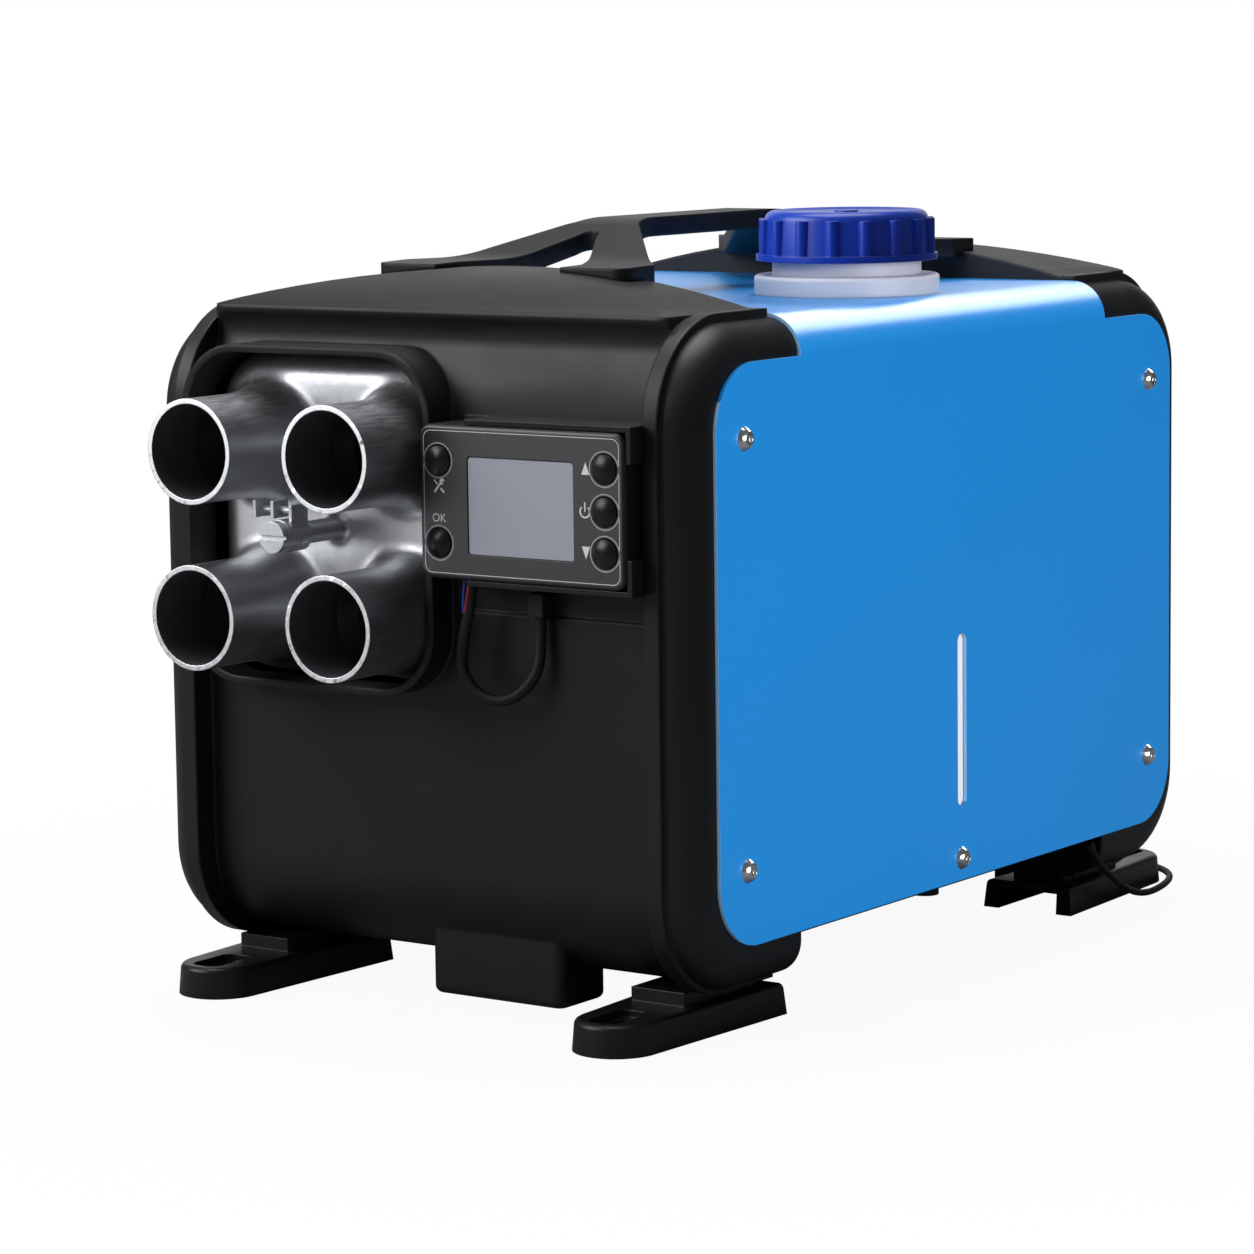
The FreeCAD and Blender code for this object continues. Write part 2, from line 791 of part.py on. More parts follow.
def prism(body, role, loops, start, length, cut=False, draft=0.0):
    """Pads or pockets loops from start along the plane's normal: XY up, XZ to the front, YZ to the right."""
    sketch = sketch_on(body, role, loops, start)
    kind = "Pocket" if cut else "Pad"
    feature = body.newObject(f"PartDesign::{kind}", kind)
    feature.Profile = sketch
    feature.Reversed = cut
    feature.setExpression("Length", length.text)
    if draft:
        feature.TaperAngle = draft
    doc.recompute()
    return feature


def revolved(body, loops):
    """Turns a half profile drawn on XZ about the body's vertical axis."""
    sketch = sketch_on(body, "XZ_Plane", loops, ZERO)
    feature = body.newObject("PartDesign::Revolution", "Revolution")
    feature.Profile = sketch
    feature.ReferenceAxis = (origin_feature(body, "Z_Axis"), [""])
    feature.Angle = 360.0
    doc.recompute()
    return feature


def around(body, feature, axis, count):
    pattern = body.newObject("PartDesign::PolarPattern", "Pattern")
    pattern.Originals = [feature]
    pattern.Axis = (origin_feature(body, axis), [""])
    pattern.Angle = 360.0
    pattern.Occurrences = count
    body.Tip = pattern
    doc.recompute()
    return pattern


def near(value, dim):
    return abs(value - dim.value) < SNAP_SHARE * S.overrun.value


def round_edges(body, feature, radius, wanted):
    names = [f"Edge{n}" for n, edge in enumerate(feature.Shape.Edges, start=1) if wanted(edge.BoundBox)]
    fillet = body.newObject("PartDesign::Fillet", "Fillet")
    fillet.Base = (feature, names)
    fillet.setExpression("Radius", radius.text)
    doc.recompute()
    return fillet


def place(shape, x=ZERO, y=ZERO, z=ZERO, rotation=None):
    if rotation:
        shape.Placement = FreeCAD.Placement(Vector(), rotation)
    shape.setExpression(".Placement.Base.x", x.text)
    shape.setExpression(".Placement.Base.y", y.text)
    shape.setExpression(".Placement.Base.z", z.text)
    return shape


HALF_TURN = FreeCAD.Rotation(Vector(0, 0, 1), 180)
TO_BACK = FreeCAD.Rotation(Vector(1, 0, 0), -90)
TO_RIGHT = FreeCAD.Rotation(Vector(0, 1, 0), 90)


def cylinder(x, y, z, radius, length, rotation=None):
    shape = doc.addObject("Part::Cylinder", "Cylinder")
    shape.setExpression("Radius", radius.text)
    shape.setExpression("Height", length.text)
    return place(shape, x, y, z, rotation)


def rod(x, z, y, radius, length):
    """A cylinder that runs from y towards the back."""
    return cylinder(x, y, z, radius, length, TO_BACK)


def cone(x, z, y, radius_front, radius_back, length):
    shape = doc.addObject("Part::Cone", "Cone")
    shape.setExpression("Radius1", radius_front.text)
    shape.setExpression("Radius2", radius_back.text)
    shape.setExpression("Height", length.text)
    return place(shape, x, y, z, TO_BACK)


def box(x_low, x_high, y_low, y_high, z_low, z_high):
    shape = doc.addObject("Part::Box", "Box")
    shape.setExpression("Length", (x_high - x_low).text)
    shape.setExpression("Width", (y_high - y_low).text)
    shape.setExpression("Height", (z_high - z_low).text)
    return place(shape, x_low, y_low, z_low)


def cut(base, tool):
    shape = doc.addObject("Part::Cut", "Cut")
    shape.Base = base
    shape.Tool = tool
    return shape


def fuse(*shapes):
    shape = doc.addObject("Part::MultiFuse", "Fusion")
    shape.Shapes = list(shapes)
    return shape


def common(*shapes):
    shape = doc.addObject("Part::MultiCommon", "Common")
    shape.Shapes = list(shapes)
    return shape


def keep(label, shape):
    shape.Label = label
    nodes[label] = shape


def keep_shape(label, shape):
    feature = doc.addObject("Part::Feature", label)
    feature.Shape = shape
    keep(label, feature)


# side shell
def make_side_shell():
    half = S.body_half + S.sheet_wall
    bend_in = S.bend_radius - S.sheet_wall
    bend_x = half - S.bend_radius
    bend_z = S.sheet_top - S.bend_radius
    inner_top = S.sheet_top - S.sheet_wall
    body = new_body("side_shell")
    wrap = [
        (-half, S.panel_bottom),
        (-S.body_half, S.panel_bottom),
        (-S.body_half, bend_z, bend_in, -1),
        (-bend_x, inner_top),
        (bend_x, inner_top, bend_in, -1),
        (S.body_half, bend_z),
        (S.body_half, S.panel_bottom),
        (half, S.panel_bottom),
        (half, bend_z, S.bend_radius, 1),
        (bend_x, S.sheet_top),
        (-bend_x, S.sheet_top, S.bend_radius, 1),
        (-half, bend_z),
    ]
    prism(body, "XZ_Plane", [wrap], -S.panel_half, S.panel_half * 2)
    corner = S.panel_corner
    notch = S.seam - S.seam_gap
    above = S.sheet_top + S.overrun
    outline = mirrored([
        (ZERO, S.panel_bottom),
        (S.panel_half - corner, S.panel_bottom, corner, 1),
        (S.panel_half, S.panel_bottom + corner),
        (S.panel_half, bend_z - corner, corner, 1),
        (S.panel_half - corner, bend_z),
        (notch, bend_z),
        (notch, above),
    ])[:-1]
    far = S.panel_half + S.overrun
    around_it = rect(-far, far, S.panel_bottom - S.overrun, above + S.overrun)
    prism(body, "YZ_Plane", [around_it, outline], -half - S.overrun, (half + S.overrun) * 2, cut=True)
    holes = [Ring(side, z, S.bolt_hole_radius)
             for side in (-S.bolt_y, S.bolt_y) for z in (S.bolt_low, S.bolt_high)]
    holes.append(Ring(ZERO, S.bolt_middle, S.bolt_hole_radius))
    prism(body, "YZ_Plane", holes, -half - S.overrun, (half + S.overrun) * 2, cut=True)
    slot = slot_loop(ZERO, S.level_slot_low, S.level_slot_high, S.level_slot_width / 2)
    prism(body, "YZ_Plane", [slot], S.body_half - S.sheet_wall, S.sheet_wall * 4, cut=True)
    filler = Ring(S.neck_x, S.neck_y, S.filler_hole_radius)
    prism(body, "XY_Plane", [filler], S.sheet_top - S.overrun, S.overrun * 2, cut=True)
    keep("side_shell", body)


# covers
def side_profile(front, bottom, top, corner, back):
    """Closed profile of a cover seen from the side, straight at the back."""
    return [
        (-back, bottom),
        (-back, top),
        (corner - front, top, corner, 1),
        (-front, top - corner),
        (-front, bottom + corner, corner, 1),
        (corner - front, bottom),
    ]


def cover_outer(name):
    nose_top = S.sheet_top - S.sheet_wall
    nose_edge = S.bend_radius - S.sheet_wall
    body = new_body(name)
    nose = side_profile(S.nose_front, S.nose_bottom, nose_top, S.nose_corner, S.seam)
    pad = prism(body, "YZ_Plane", [nose], -S.body_half, S.body_half * 2)

    def on_flank(box):
        flat = near(box.XMin, S.body_half) or near(box.XMax, -S.body_half)
        return flat and box.XLength < S.slide_gap.value and not near(box.YMin, -S.seam)

    round_edges(body, pad, nose_edge, on_flank)
    ahead = S.bead_front + S.overrun
    above = S.roof_crest + S.overrun
    face_root = S.face_front - S.nose_corner
    recess = [
        (-face_root, S.nose_bottom - S.overrun),
        (-face_root, S.nose_bottom, S.nose_corner, -1),
        (-S.face_front, S.nose_bottom + S.nose_corner),
        (-S.face_front, S.face_top),
        (-S.lean_back, S.lean_top, S.cove_radius, 1),
        (-S.crease_front, S.crease_height),
        (-S.crease_front, above),
        (-ahead, above),
        (-ahead, S.nose_bottom - S.overrun),
    ]
    prism(body, "YZ_Plane", [recess], -S.bead_inner, S.bead_inner * 2, cut=True)
    bead = side_profile(S.bead_front, S.bead_bottom, S.bead_top, S.bead_corner, S.seam)
    prism(body, "YZ_Plane", [bead], S.bead_inner, S.bead_width)
    prism(body, "YZ_Plane", [bead], -S.bead_inner - S.bead_width, S.bead_width)
    roof = [
        (-S.crease_front, S.crease_height, S.roof_radius, -1),
        (-S.roof_flat, S.roof_crest),
        (-S.seam, S.roof_crest),
        (-S.seam, S.lean_top),
        (-S.lean_back, S.lean_top, S.cove_radius, 1),
    ]
    prism(body, "YZ_Plane", [roof], -S.bead_inner, S.bead_inner * 2)
    arch = [
        (-S.bead_inner, S.arch_edge, arch_radius(), -1),
        (S.bead_inner, S.arch_edge),
        (S.bead_inner, above),
        (-S.bead_inner, above),
    ]
    prism(body, "XZ_Plane", [arch], S.seam - S.overrun, S.bead_front - S.seam + S.overrun * 2, cut=True)
    bolts = [Ring(-S.bolt_y, z, S.bolt_hole_radius) for z in (S.bolt_low, S.bolt_high)]
    prism(body, "YZ_Plane", bolts, -S.body_half - S.overrun, (S.body_half + S.overrun) * 2, cut=True)
    soles = [Ring(x, -S.foot_screw_y, S.foot_screw_radius) for x in (-S.foot_x, S.foot_x)]
    prism(body, "XY_Plane", soles, ZERO, S.pan_level, cut=True)
    crowns = [Ring(x, -S.handle_screw_y, S.handle_screw_radius) for x in (-S.handle_screw_x, S.handle_screw_x)]
    prism(body, "XY_Plane", crowns, S.lean_top, S.pan_level + S.overrun, cut=True)
    return body


def arch_radius():
    rise = S.roof_crest - S.arch_edge
    return (S.bead_inner * S.bead_inner + rise * rise) / (rise * 2)


def cover_cavity(name):
    """The hollow of a cover, with the lip that carries the base pan left standing."""
    top = S.sheet_top - S.sheet_wall - S.case_wall
    bottom = S.nose_bottom + S.case_wall
    front = S.face_front - S.case_wall
    half = S.body_half - S.case_wall
    lip = S.seam + S.pan_lip
    body = new_body(name)
    hollow = side_profile(front, bottom, top, S.cavity_corner, lip)
    hollow[0:2] = [
        (-lip, bottom),
        (-lip, S.pan_level),
        (S.overrun - S.seam, S.pan_level),
        (S.overrun - S.seam, top),
    ]
    pad = prism(body, "YZ_Plane", [hollow], -half, half * 2)

    def on_flank(box):
        flat = near(box.XMin, half) or near(box.XMax, -half)
        along = box.YMin < -lip.value - S.slide_gap.value or box.ZMin > S.face_top.value
        return flat and box.XLength < S.slide_gap.value and along and not near(box.YMin, S.overrun - S.seam)

    round_edges(body, pad, S.bend_radius - S.sheet_wall - S.case_wall, on_flank)
    return body


def make_covers():
    front = cover_outer("front_outer")
    opening = rounded(-S.opening_left, S.opening_right, S.opening_low, S.opening_high, S.opening_corner)
    wall = S.surround_wall
    surround = rounded(-S.opening_left - wall, S.opening_right + wall, S.opening_low - wall,
                       S.opening_high + wall, S.opening_corner + wall)
    prism(front, "XZ_Plane", [surround], S.surround_root, S.surround_front - S.surround_root)
    prism(front, "XZ_Plane", [opening], S.plenum_back, S.surround_front - S.plenum_back + S.overrun, cut=True)
    seat = rounded(S.seat_left, S.seat_right, S.seat_low, S.seat_high, S.panel_round)
    prism(front, "XZ_Plane", [seat], S.face_front - S.seat_depth, S.overrun, cut=True)
    sump = rounded(-S.sump_left, S.sump_right, -S.sump_front, -S.sump_back, S.sump_corner)
    pad = prism(front, "XY_Plane", [sump], S.sump_bottom, S.sump_root - S.sump_bottom)
    round_edges(front, pad, S.case_wall, lambda box: near(box.ZMax, S.sump_bottom))
    keep("front_cover", cut(front, cover_cavity("front_cavity")))
    rear = cover_outer("rear_outer")
    duct = Ring(S.outlet_x, S.outlet_z, S.duct_hole)
    prism(rear, "XZ_Plane", [duct], S.seam, S.bead_front - S.seam + S.overrun, cut=True)
    cavity = cover_cavity("rear_cavity")
    place(rear, rotation=HALF_TURN)
    place(cavity, rotation=HALF_TURN)
    keep("rear_cover", cut(rear, cavity))


# base pan
def make_base_pan():
    half = S.body_half
    wall = S.pan_wall
    body = new_body("base_pan")
    trough = mirrored([
        (ZERO, S.pan_level),
        (S.pan_flat_half, S.pan_level),
        (half, S.pan_rise),
        (half, S.pan_flange_top),
        (half - wall, S.pan_flange_top),
        (half - wall, S.pan_rise + wall),
        (S.pan_flat_half - wall, S.pan_level + wall),
        (ZERO, S.pan_level + wall),
    ])
    trough = [v for i, v in enumerate(trough) if i not in (8, 15)]
    reach = S.seam - S.seam_gap
    prism(body, "XZ_Plane", [trough], -reach, reach * 2)
    lip = S.seam + S.pan_lip - S.seam_gap
    tongue = rect(-S.pan_tongue_half, S.pan_tongue_half, -lip, lip)
    prism(body, "XY_Plane", [tongue], S.pan_level, wall)
    bolt = Ring(ZERO, S.bolt_middle, S.bolt_hole_radius)
    prism(body, "YZ_Plane", [bolt], -half - S.overrun, (half + S.overrun) * 2, cut=True)
    holes = [
        Ring(-S.outlet_x - S.pipe_spread, S.pipe_y, S.exhaust_radius + S.pipe_hole_gap),
        Ring(-S.outlet_x + S.pipe_spread, S.pipe_y, S.intake_radius + S.pipe_hole_gap),
        Ring(S.drain_x, S.drain_y, S.drain_shank_radius),
    ]
    prism(body, "XY_Plane", holes, S.pan_level - S.overrun, S.overrun * 2, cut=True)
    gland = cylinder(S.gland_x, S.gland_y, S.gland_z, S.gland_radius, S.gland_length,
                     FreeCAD.Rotation(Vector(1, 0, 0), -GLAND_TILT))
    keep("base_pan", cut(body, gland))


# feet
def make_foot(label, x, rotation):
    tip = S.foot_tip_half
    body = new_body(label)
    plan = [
        (-S.foot_inner_half, -S.foot_inner),
        (-tip, tip - S.foot_tip, tip, 1),
        (ZERO, -S.foot_tip, tip, 1),
        (tip, tip - S.foot_tip),
        (S.foot_inner_half, -S.foot_inner),
    ]
    pad = prism(body, "XY_Plane", [plan], ZERO, S.foot_height, draft=FOOT_DRAFT)
    round_edges(body, pad, S.foot_edge,
                lambda box: near(box.ZMin, S.foot_height) and box.YMin < -S.foot_screw_y.value)
    seat = rect(-S.foot_pad_half, S.foot_pad_half, -S.foot_pad_front, -S.foot_pad_back)
    prism(body, "XY_Plane", [seat], S.foot_web, S.nose_bottom - S.foot_web)
    inner = S.foot_tip_half - S.foot_wall
    hollow = rect(-inner, inner, -S.foot_solid, S.overrun - S.foot_inner)
    prism(body, "XY_Plane", [hollow], -S.overrun, S.foot_height - S.foot_web + S.overrun, cut=True)
    reach = S.foot_slot_length / 2
    slot = slot_loop(ZERO, -S.foot_slot_y - reach, reach - S.foot_slot_y, S.foot_slot_width / 2)
    prism(body, "XY_Plane", [slot], -S.overrun, S.foot_height + S.overrun * 2, cut=True)
    wide = S.foot_recess_width / 2
    run = S.foot_recess_length / 2
    recess = rounded(-wide, wide, -S.foot_slot_y - run, run - S.foot_slot_y, S.panel_round)
    prism(body, "XY_Plane", [recess], S.foot_height - S.foot_recess_depth, S.overrun, cut=True)
    screw = Ring(ZERO, -S.foot_screw_y, S.foot_screw_radius)
    prism(body, "XY_Plane", [screw], ZERO, S.nose_bottom + S.overrun, cut=True)
    place(body, x, rotation=rotation)
    keep(label, body)


def make_feet():
    make_foot("foot_front_left", -S.foot_x, None)
    make_foot("foot_front_right", S.foot_x, None)
    make_foot("foot_rear_left", -S.foot_x, HALF_TURN)
    make_foot("foot_rear_right", S.foot_x, HALF_TURN)


# screws: one is drawn, the others are its copies
def copies(label, shape, placements):
    group = []
    for placement in placements:
        copy = shape.copy()
        copy.Placement = placement.multiply(shape.Placement)
        group.append(copy)
    keep_shape(label, Part.makeCompound(group))


def foot_screw_group():
    web = S.foot_height - S.foot_web
    head_low = web - S.foot_screw_head_height
    head = cylinder(ZERO, ZERO, head_low, S.foot_screw_head, S.foot_screw_head_height)
    shank = cylinder(ZERO, ZERO, web, S.foot_screw_radius, S.foot_screw_end - web)
    screw = fuse(head, shank)
    doc.recompute()
    x = S.foot_x.value
    y = S.foot_screw_y.value
    spots = [Vector(side_x, side_y, 0) for side_x in (-x, x) for side_y in (-y, y)]
    copies("foot_screws", screw.Shape, [FreeCAD.Placement(spot, FreeCAD.Rotation()) for spot in spots])


def handle_screw_group():
    top = S.sheet_top - S.sheet_wall - S.case_wall
    head = cylinder(ZERO, ZERO, top - S.handle_screw_head_height, S.handle_screw_head, S.handle_screw_head_height)
    shank = cylinder(ZERO, ZERO, top, S.handle_screw_radius, S.handle_screw_end - top)
    screw = fuse(head, shank)
    doc.recompute()
    x = S.handle_screw_x.value
    y = S.handle_screw_y.value
    spots = [Vector(side_x, side_y, 0) for side_x in (-x, x) for side_y in (-y, y)]
    copies("handle_screws", screw.Shape, [FreeCAD.Placement(spot, FreeCAD.Rotation()) for spot in spots])


def shell_bolt_group():
    body = new_body("bolt")
    profile = [
        (ZERO, -S.bolt_length),
        (S.bolt_shank_radius, -S.bolt_length),
        (S.bolt_shank_radius, ZERO),
        (S.bolt_head_radius, ZERO, S.bolt_head_height * 2, 1),
        (S.bolt_crown_radius, S.bolt_head_height),
        (S.bolt_socket_radius, S.bolt_head_height),
        (S.bolt_socket_radius, S.bolt_head_height - S.bolt_socket_depth),
        (ZERO, S.bolt_head_height - S.bolt_socket_depth),
    ]
    revolved(body, [profile])
    x = (S.body_half + S.sheet_wall).value
    spots = [(y, z) for y in (-S.bolt_y.value, S.bolt_y.value) for z in (S.bolt_low.value, S.bolt_high.value)]
    spots.append((0.0, S.bolt_middle.value))
    to_left = FreeCAD.Rotation(Vector(0, 1, 0), -90)
    placements = [FreeCAD.Placement(Vector(x, y, z), TO_RIGHT) for y, z in spots]
    placements += [FreeCAD.Placement(Vector(-x, y, z), to_left) for y, z in spots]
    copies("shell_bolts", body.Shape, placements)


# carry handle
def make_handle():
    drop = S.handle_thickness
    top = [
        (ZERO, S.handle_crown_top),
        (S.handle_crown, S.handle_crown_top, S.handle_crown_arc, -1),
        (S.handle_leg_end, S.handle_leg_end_top),
        (S.handle_leg_start, S.handle_leg_start_top, S.handle_heel_arc, 1),
        (S.handle_leg_low, S.handle_leg_low_top),
        (S.handle_foot_end, S.handle_foot_top),
    ]
    lower = [
        (S.handle_foot_end, S.handle_foot_top - drop),
        (S.handle_leg_low, S.handle_leg_low_top - drop, S.handle_heel_arc, -1),
        (S.handle_leg_start, S.handle_leg_start_top - drop),
        (S.handle_leg_end, S.handle_leg_end_top - drop, S.handle_crown_arc, 1),
        (S.handle_crown, S.handle_crown_top - drop),
        (ZERO, S.handle_crown_top - drop),
    ]
    band = mirrored(top + lower)
    band = [v for i, v in enumerate(band) if i not in (len(top + lower), len(band) - 1)]
    arch = new_body("handle_arch")
    wide = S.handle_pad_outer + S.overrun
    prism(arch, "YZ_Plane", [band], -wide, wide * 2)
    quarter = [
        (S.handle_grip_half, S.handle_crown, S.handle_flare_arc, -1),
        (S.handle_neck_half, S.handle_neck_y),
        (S.handle_pad_outer, S.seam - S.handle_corner),
        (S.handle_pad_outer, S.handle_foot_end - S.handle_corner, S.handle_corner, 1),
        (S.handle_pad_outer - S.handle_corner, S.handle_foot_end),
        (S.handle_pad_inner, S.handle_foot_end),
        (S.handle_pad_inner, S.seam),
        (S.handle_fork_half, S.handle_fork_y, S.handle_fork_half, -1),
        (ZERO, S.handle_fork_y - S.handle_fork_half, S.handle_fork_half, -1),
    ]
    back = mirrored(quarter)
    back = [v for i, v in enumerate(back) if i != len(quarter)]
    front = [(-v[0], -v[1]) + tuple(v[2:]) for v in back]
    plan = new_body("handle_plan")
    low = S.handle_foot_top - S.handle_drop
    prism(plan, "XY_Plane", [back + front], low, S.handle_drop * 2)
    arched = common(arch, plan)
    radius = arch_radius()
    reach = S.handle_foot_end + S.overrun
    roof = rod(ZERO, S.roof_crest - radius, -reach, radius, reach * 2)
    middle = box(-wide, wide, -S.seam, S.seam, ZERO, S.roof_crest)
    seated = cut(arched, cut(roof, middle))
    keep("carry_handle", seated)


# tank and filler
def make_tank():
    floor = S.pan_level + S.pan_wall
    body = new_body("tank_outer")
    plan = rounded(S.tank_left, S.tank_right, -S.tank_half, S.tank_half, S.tank_corner)
    pad = prism(body, "XY_Plane", [plan], floor, S.tank_top - floor)
    round_edges(body, pad, S.tank_edge, lambda box: near(box.ZMax, floor) or near(box.ZMin, S.tank_top))
    neck = Ring(S.neck_x, S.neck_y, S.neck_radius)
    root = S.tank_top - S.tank_wall
    shoulder = S.cap_bottom - S.slide_gap
    prism(body, "XY_Plane", [neck], root, shoulder - root)
    thread = Ring(S.neck_x, S.neck_y, S.neck_thread_radius)
    prism(body, "XY_Plane", [thread], root, S.neck_top - root)
    wall = S.tank_wall
    inner = new_body("tank_inner")
    inside = rounded(S.tank_left + wall, S.tank_right - wall, wall - S.tank_half, S.tank_half - wall,
                     S.tank_corner - wall)
    pad = prism(inner, "XY_Plane", [inside], floor + wall, S.tank_top - floor - wall * 2)
    round_edges(inner, pad, S.tank_edge - wall,
                lambda box: near(box.ZMax, floor + wall) or near(box.ZMin, S.tank_top - wall))
    bore = Ring(S.neck_x, S.neck_y, S.neck_bore)
    prism(inner, "XY_Plane", [bore], S.tank_top - wall * 2, S.neck_top - S.tank_top + wall * 4)
    keep("fuel_tank", cut(body, inner))


def make_filler():
    collar = new_body("neck_collar")
    collar_profile = [
        (S.collar_bore, ZERO),
        (S.collar_radius, ZERO),
        (S.collar_radius, S.collar_height - S.collar_edge, S.collar_edge, 1),
        (S.collar_radius - S.collar_edge, S.collar_height),
        (S.collar_bore, S.collar_height),
    ]
    revolved(collar, [collar_profile])
    place(collar, S.neck_x, S.neck_y, S.sheet_top)
    keep("neck_collar", collar)
    cap = new_body("filler_cap")
    cap_profile = [
        (S.cap_bore, ZERO),
        (S.cap_rim_radius, ZERO),
        (S.cap_rim_radius, S.cap_rim_height),
        (S.cap_body_radius, S.cap_rim_height),
        (S.cap_top_radius, S.cap_height - S.cap_edge, S.cap_edge, 1),
        (S.cap_top_radius - S.cap_edge, S.cap_height),
        (S.cap_dish_radius, S.cap_height - S.cap_dish_depth),
        (ZERO, S.cap_height - S.cap_dish_depth),
        (ZERO, S.cap_inner_height),
        (S.cap_bore, S.cap_inner_height),
    ]
    revolved(cap, [cap_profile])
    rib = prism(cap, "XY_Plane", [Ring(S.cap_rib_circle, ZERO, S.cap_rib_radius)], S.cap_rim_height,
                S.cap_rib_top - S.cap_rim_height)
    around(cap, rib, "Z_Axis", CAP_RIBS)
    mark = Ring(ZERO, ZERO, S.cap_mark_radius)
    prism(cap, "XY_Plane", [mark], S.cap_height - S.cap_dish_depth * 2, S.cap_dish_depth + S.cap_mark_height)
    bore = Ring(ZERO, ZERO, S.cap_bore)
    prism(cap, "XY_Plane", [bore], -S.overrun, S.cap_inner_height + S.overrun, cut=True)
    place(cap, S.neck_x, S.neck_y, S.cap_bottom)
    keep("filler_cap", cap)
    disc = cylinder(S.neck_x, S.neck_y, S.neck_top, S.seal_radius, S.seal_height)
    hole = cylinder(S.neck_x, S.neck_y, S.neck_top - S.overrun, S.seal_bore, S.seal_height + S.overrun * 2)
    keep("cap_seal", cut(disc, hole))
    head = cylinder(S.drain_x, S.drain_y, S.drain_head_bottom, S.drain_head_radius,
                    S.pan_level - S.drain_head_bottom)
    shank = cylinder(S.drain_x, S.drain_y, S.pan_level, S.drain_shank_radius, S.pan_wall)
    keep("drain_plug", fuse(head, shank))


# warm air outlets
def outlet_centres():
    x = -S.outlet_x
    dx = S.outlet_pitch_x / 2
    dz = S.outlet_pitch_z / 2
    return [(x - dx, S.outlet_z - dz), (x + dx, S.outlet_z - dz), (x - dx, S.outlet_z + dz), (x + dx, S.outlet_z + dz)]


def manifold_form(name, inset, front_over, back_over):
    """The manifold's skin, or with an inset the hollow inside it."""
    gap = S.plenum_gap + inset
    plan = rounded(gap - S.opening_left, S.opening_right - gap, S.opening_low + gap, S.opening_high - gap,
                   S.opening_corner - gap)
    plenum = new_body(name)
    depth = S.plenum_front - inset - S.plenum_back + back_over
    pad = prism(plenum, "XZ_Plane", [plan], S.plenum_back - back_over, depth)
    round_edges(plenum, pad, S.plenum_edge - inset, lambda box: near(box.YMax, inset - S.plenum_front))
    limit = new_body(name + "_limit")
    prism(limit, "XZ_Plane", [plan], S.plenum_back, S.outlet_front - S.plenum_back)
    roots = [cone(x, z, -S.outlet_straight, S.outlet_radius - inset, S.outlet_root_radius - inset,
                  S.outlet_straight - S.outlet_root) for x, z in outlet_centres()]
    tubes = [rod(x, z, -S.outlet_front - front_over, S.outlet_radius - inset,
                 S.outlet_front - S.outlet_straight + front_over) for x, z in outlet_centres()]
    return fuse(plenum, common(fuse(*roots), limit), *tubes)


def make_outlets():
    skin = manifold_form("manifold", ZERO, ZERO, ZERO)
    stud = rod(-S.outlet_x, S.outlet_z, -S.stud_front, S.stud_radius, S.stud_front - S.plenum_front + S.outlet_wall)
    hollow = manifold_form("manifold_hollow", S.outlet_wall, S.overrun, S.overrun)
    keep("outlet_manifold", cut(fuse(skin, stud), hollow))
    x = -S.outlet_x
    z = S.outlet_z
    barrel = rod(x, z, -S.clamp_front, S.clamp_radius, S.clamp_front - S.stud_front)
    ear = box(x + S.clamp_ear_x, x + S.clamp_ear_x + S.clamp_ear_wall, -S.clamp_ear_front, -S.clamp_ear_back,
              z, z + S.clamp_ear_top)
    bore = rod(x, z, -S.clamp_front - S.overrun, S.clamp_bore, S.clamp_front - S.stud_front + S.overrun * 2)
    keep("clamp_band", cut(fuse(barrel, ear), bore))
    head = rod(x, z, -S.clamp_front - S.clamp_head_height, S.clamp_head_radius, S.clamp_head_height)
    shank = rod(x, z, -S.clamp_front, S.clamp_screw_radius, S.clamp_front - S.stud_front)
    slot_z = S.clamp_slot_width / 2
    slot_y = -S.clamp_front - S.clamp_head_height
    slot = box(x - S.clamp_head_radius - S.overrun, x + S.clamp_head_radius + S.overrun, slot_y - S.overrun,
               slot_y + S.clamp_slot_depth, z - slot_z, z + slot_z)
    keep("clamp_screw", cut(fuse(head, shank), slot))
    left = x - S.clip_left
    right = left + S.clip_span
    sides = [box(side, side + S.clip_wall, -S.clip_front, -S.clip_back, z + S.clip_low, z + S.clip_high)
             for side in (left, right)]
    bridge = box(left, right + S.clip_wall, -S.clip_back - S.clip_wall, -S.clip_back, z + S.clip_low, z + S.clip_high)
    bar_y = -(S.clip_front + S.clip_back) / 2
    bar = cylinder(left, bar_y, z + S.clip_bar_z, S.clip_bar_radius, x + S.clamp_ear_x - left, TO_RIGHT)
    keep("clamp_nut", fuse(*sides, bridge, bar))


# heater unit
def bladed(label, hub, tip, wall, count, front, depth, bore):
    """A hub with straight radial blades, turned about the unit's own axis."""
    body = new_body(label)
    back = -front - depth
    prism(body, "XZ_Plane", [Ring(ZERO, ZERO, hub)], back, depth)
    blade = rect(-wall / 2, wall / 2, hub * EVEN_SHARE, tip)
    pad = prism(body, "XZ_Plane", [blade], back, depth)
    around(body, pad, "Y_Axis", count)
    prism(body, "XZ_Plane", [Ring(ZERO, ZERO, bore)], back - S.overrun, depth + S.overrun * 2, cut=True)
    place(body, -S.outlet_x, ZERO, S.outlet_z)
    return body


def case_half(label, low, high):
    x = -S.outlet_x
    z = S.outlet_z
    shell = S.case_shell
    wide = S.case_half
    tall = S.case_half_height
    tube = new_body(label + "_tube")
    outer = rounded(x - wide, x + wide, z - tall, z + tall, S.case_corner)
    inner = rounded(x - wide + shell, x + wide - shell, z - tall + shell, z + tall - shell, S.case_corner - shell)
    prism(tube, "XZ_Plane", [outer, inner], -S.case_rear, S.case_rear + S.plenum_back)
    keep(label, common(tube, box(x - wide, x + wide, -S.plenum_back, S.case_rear, z + low, z + high)))


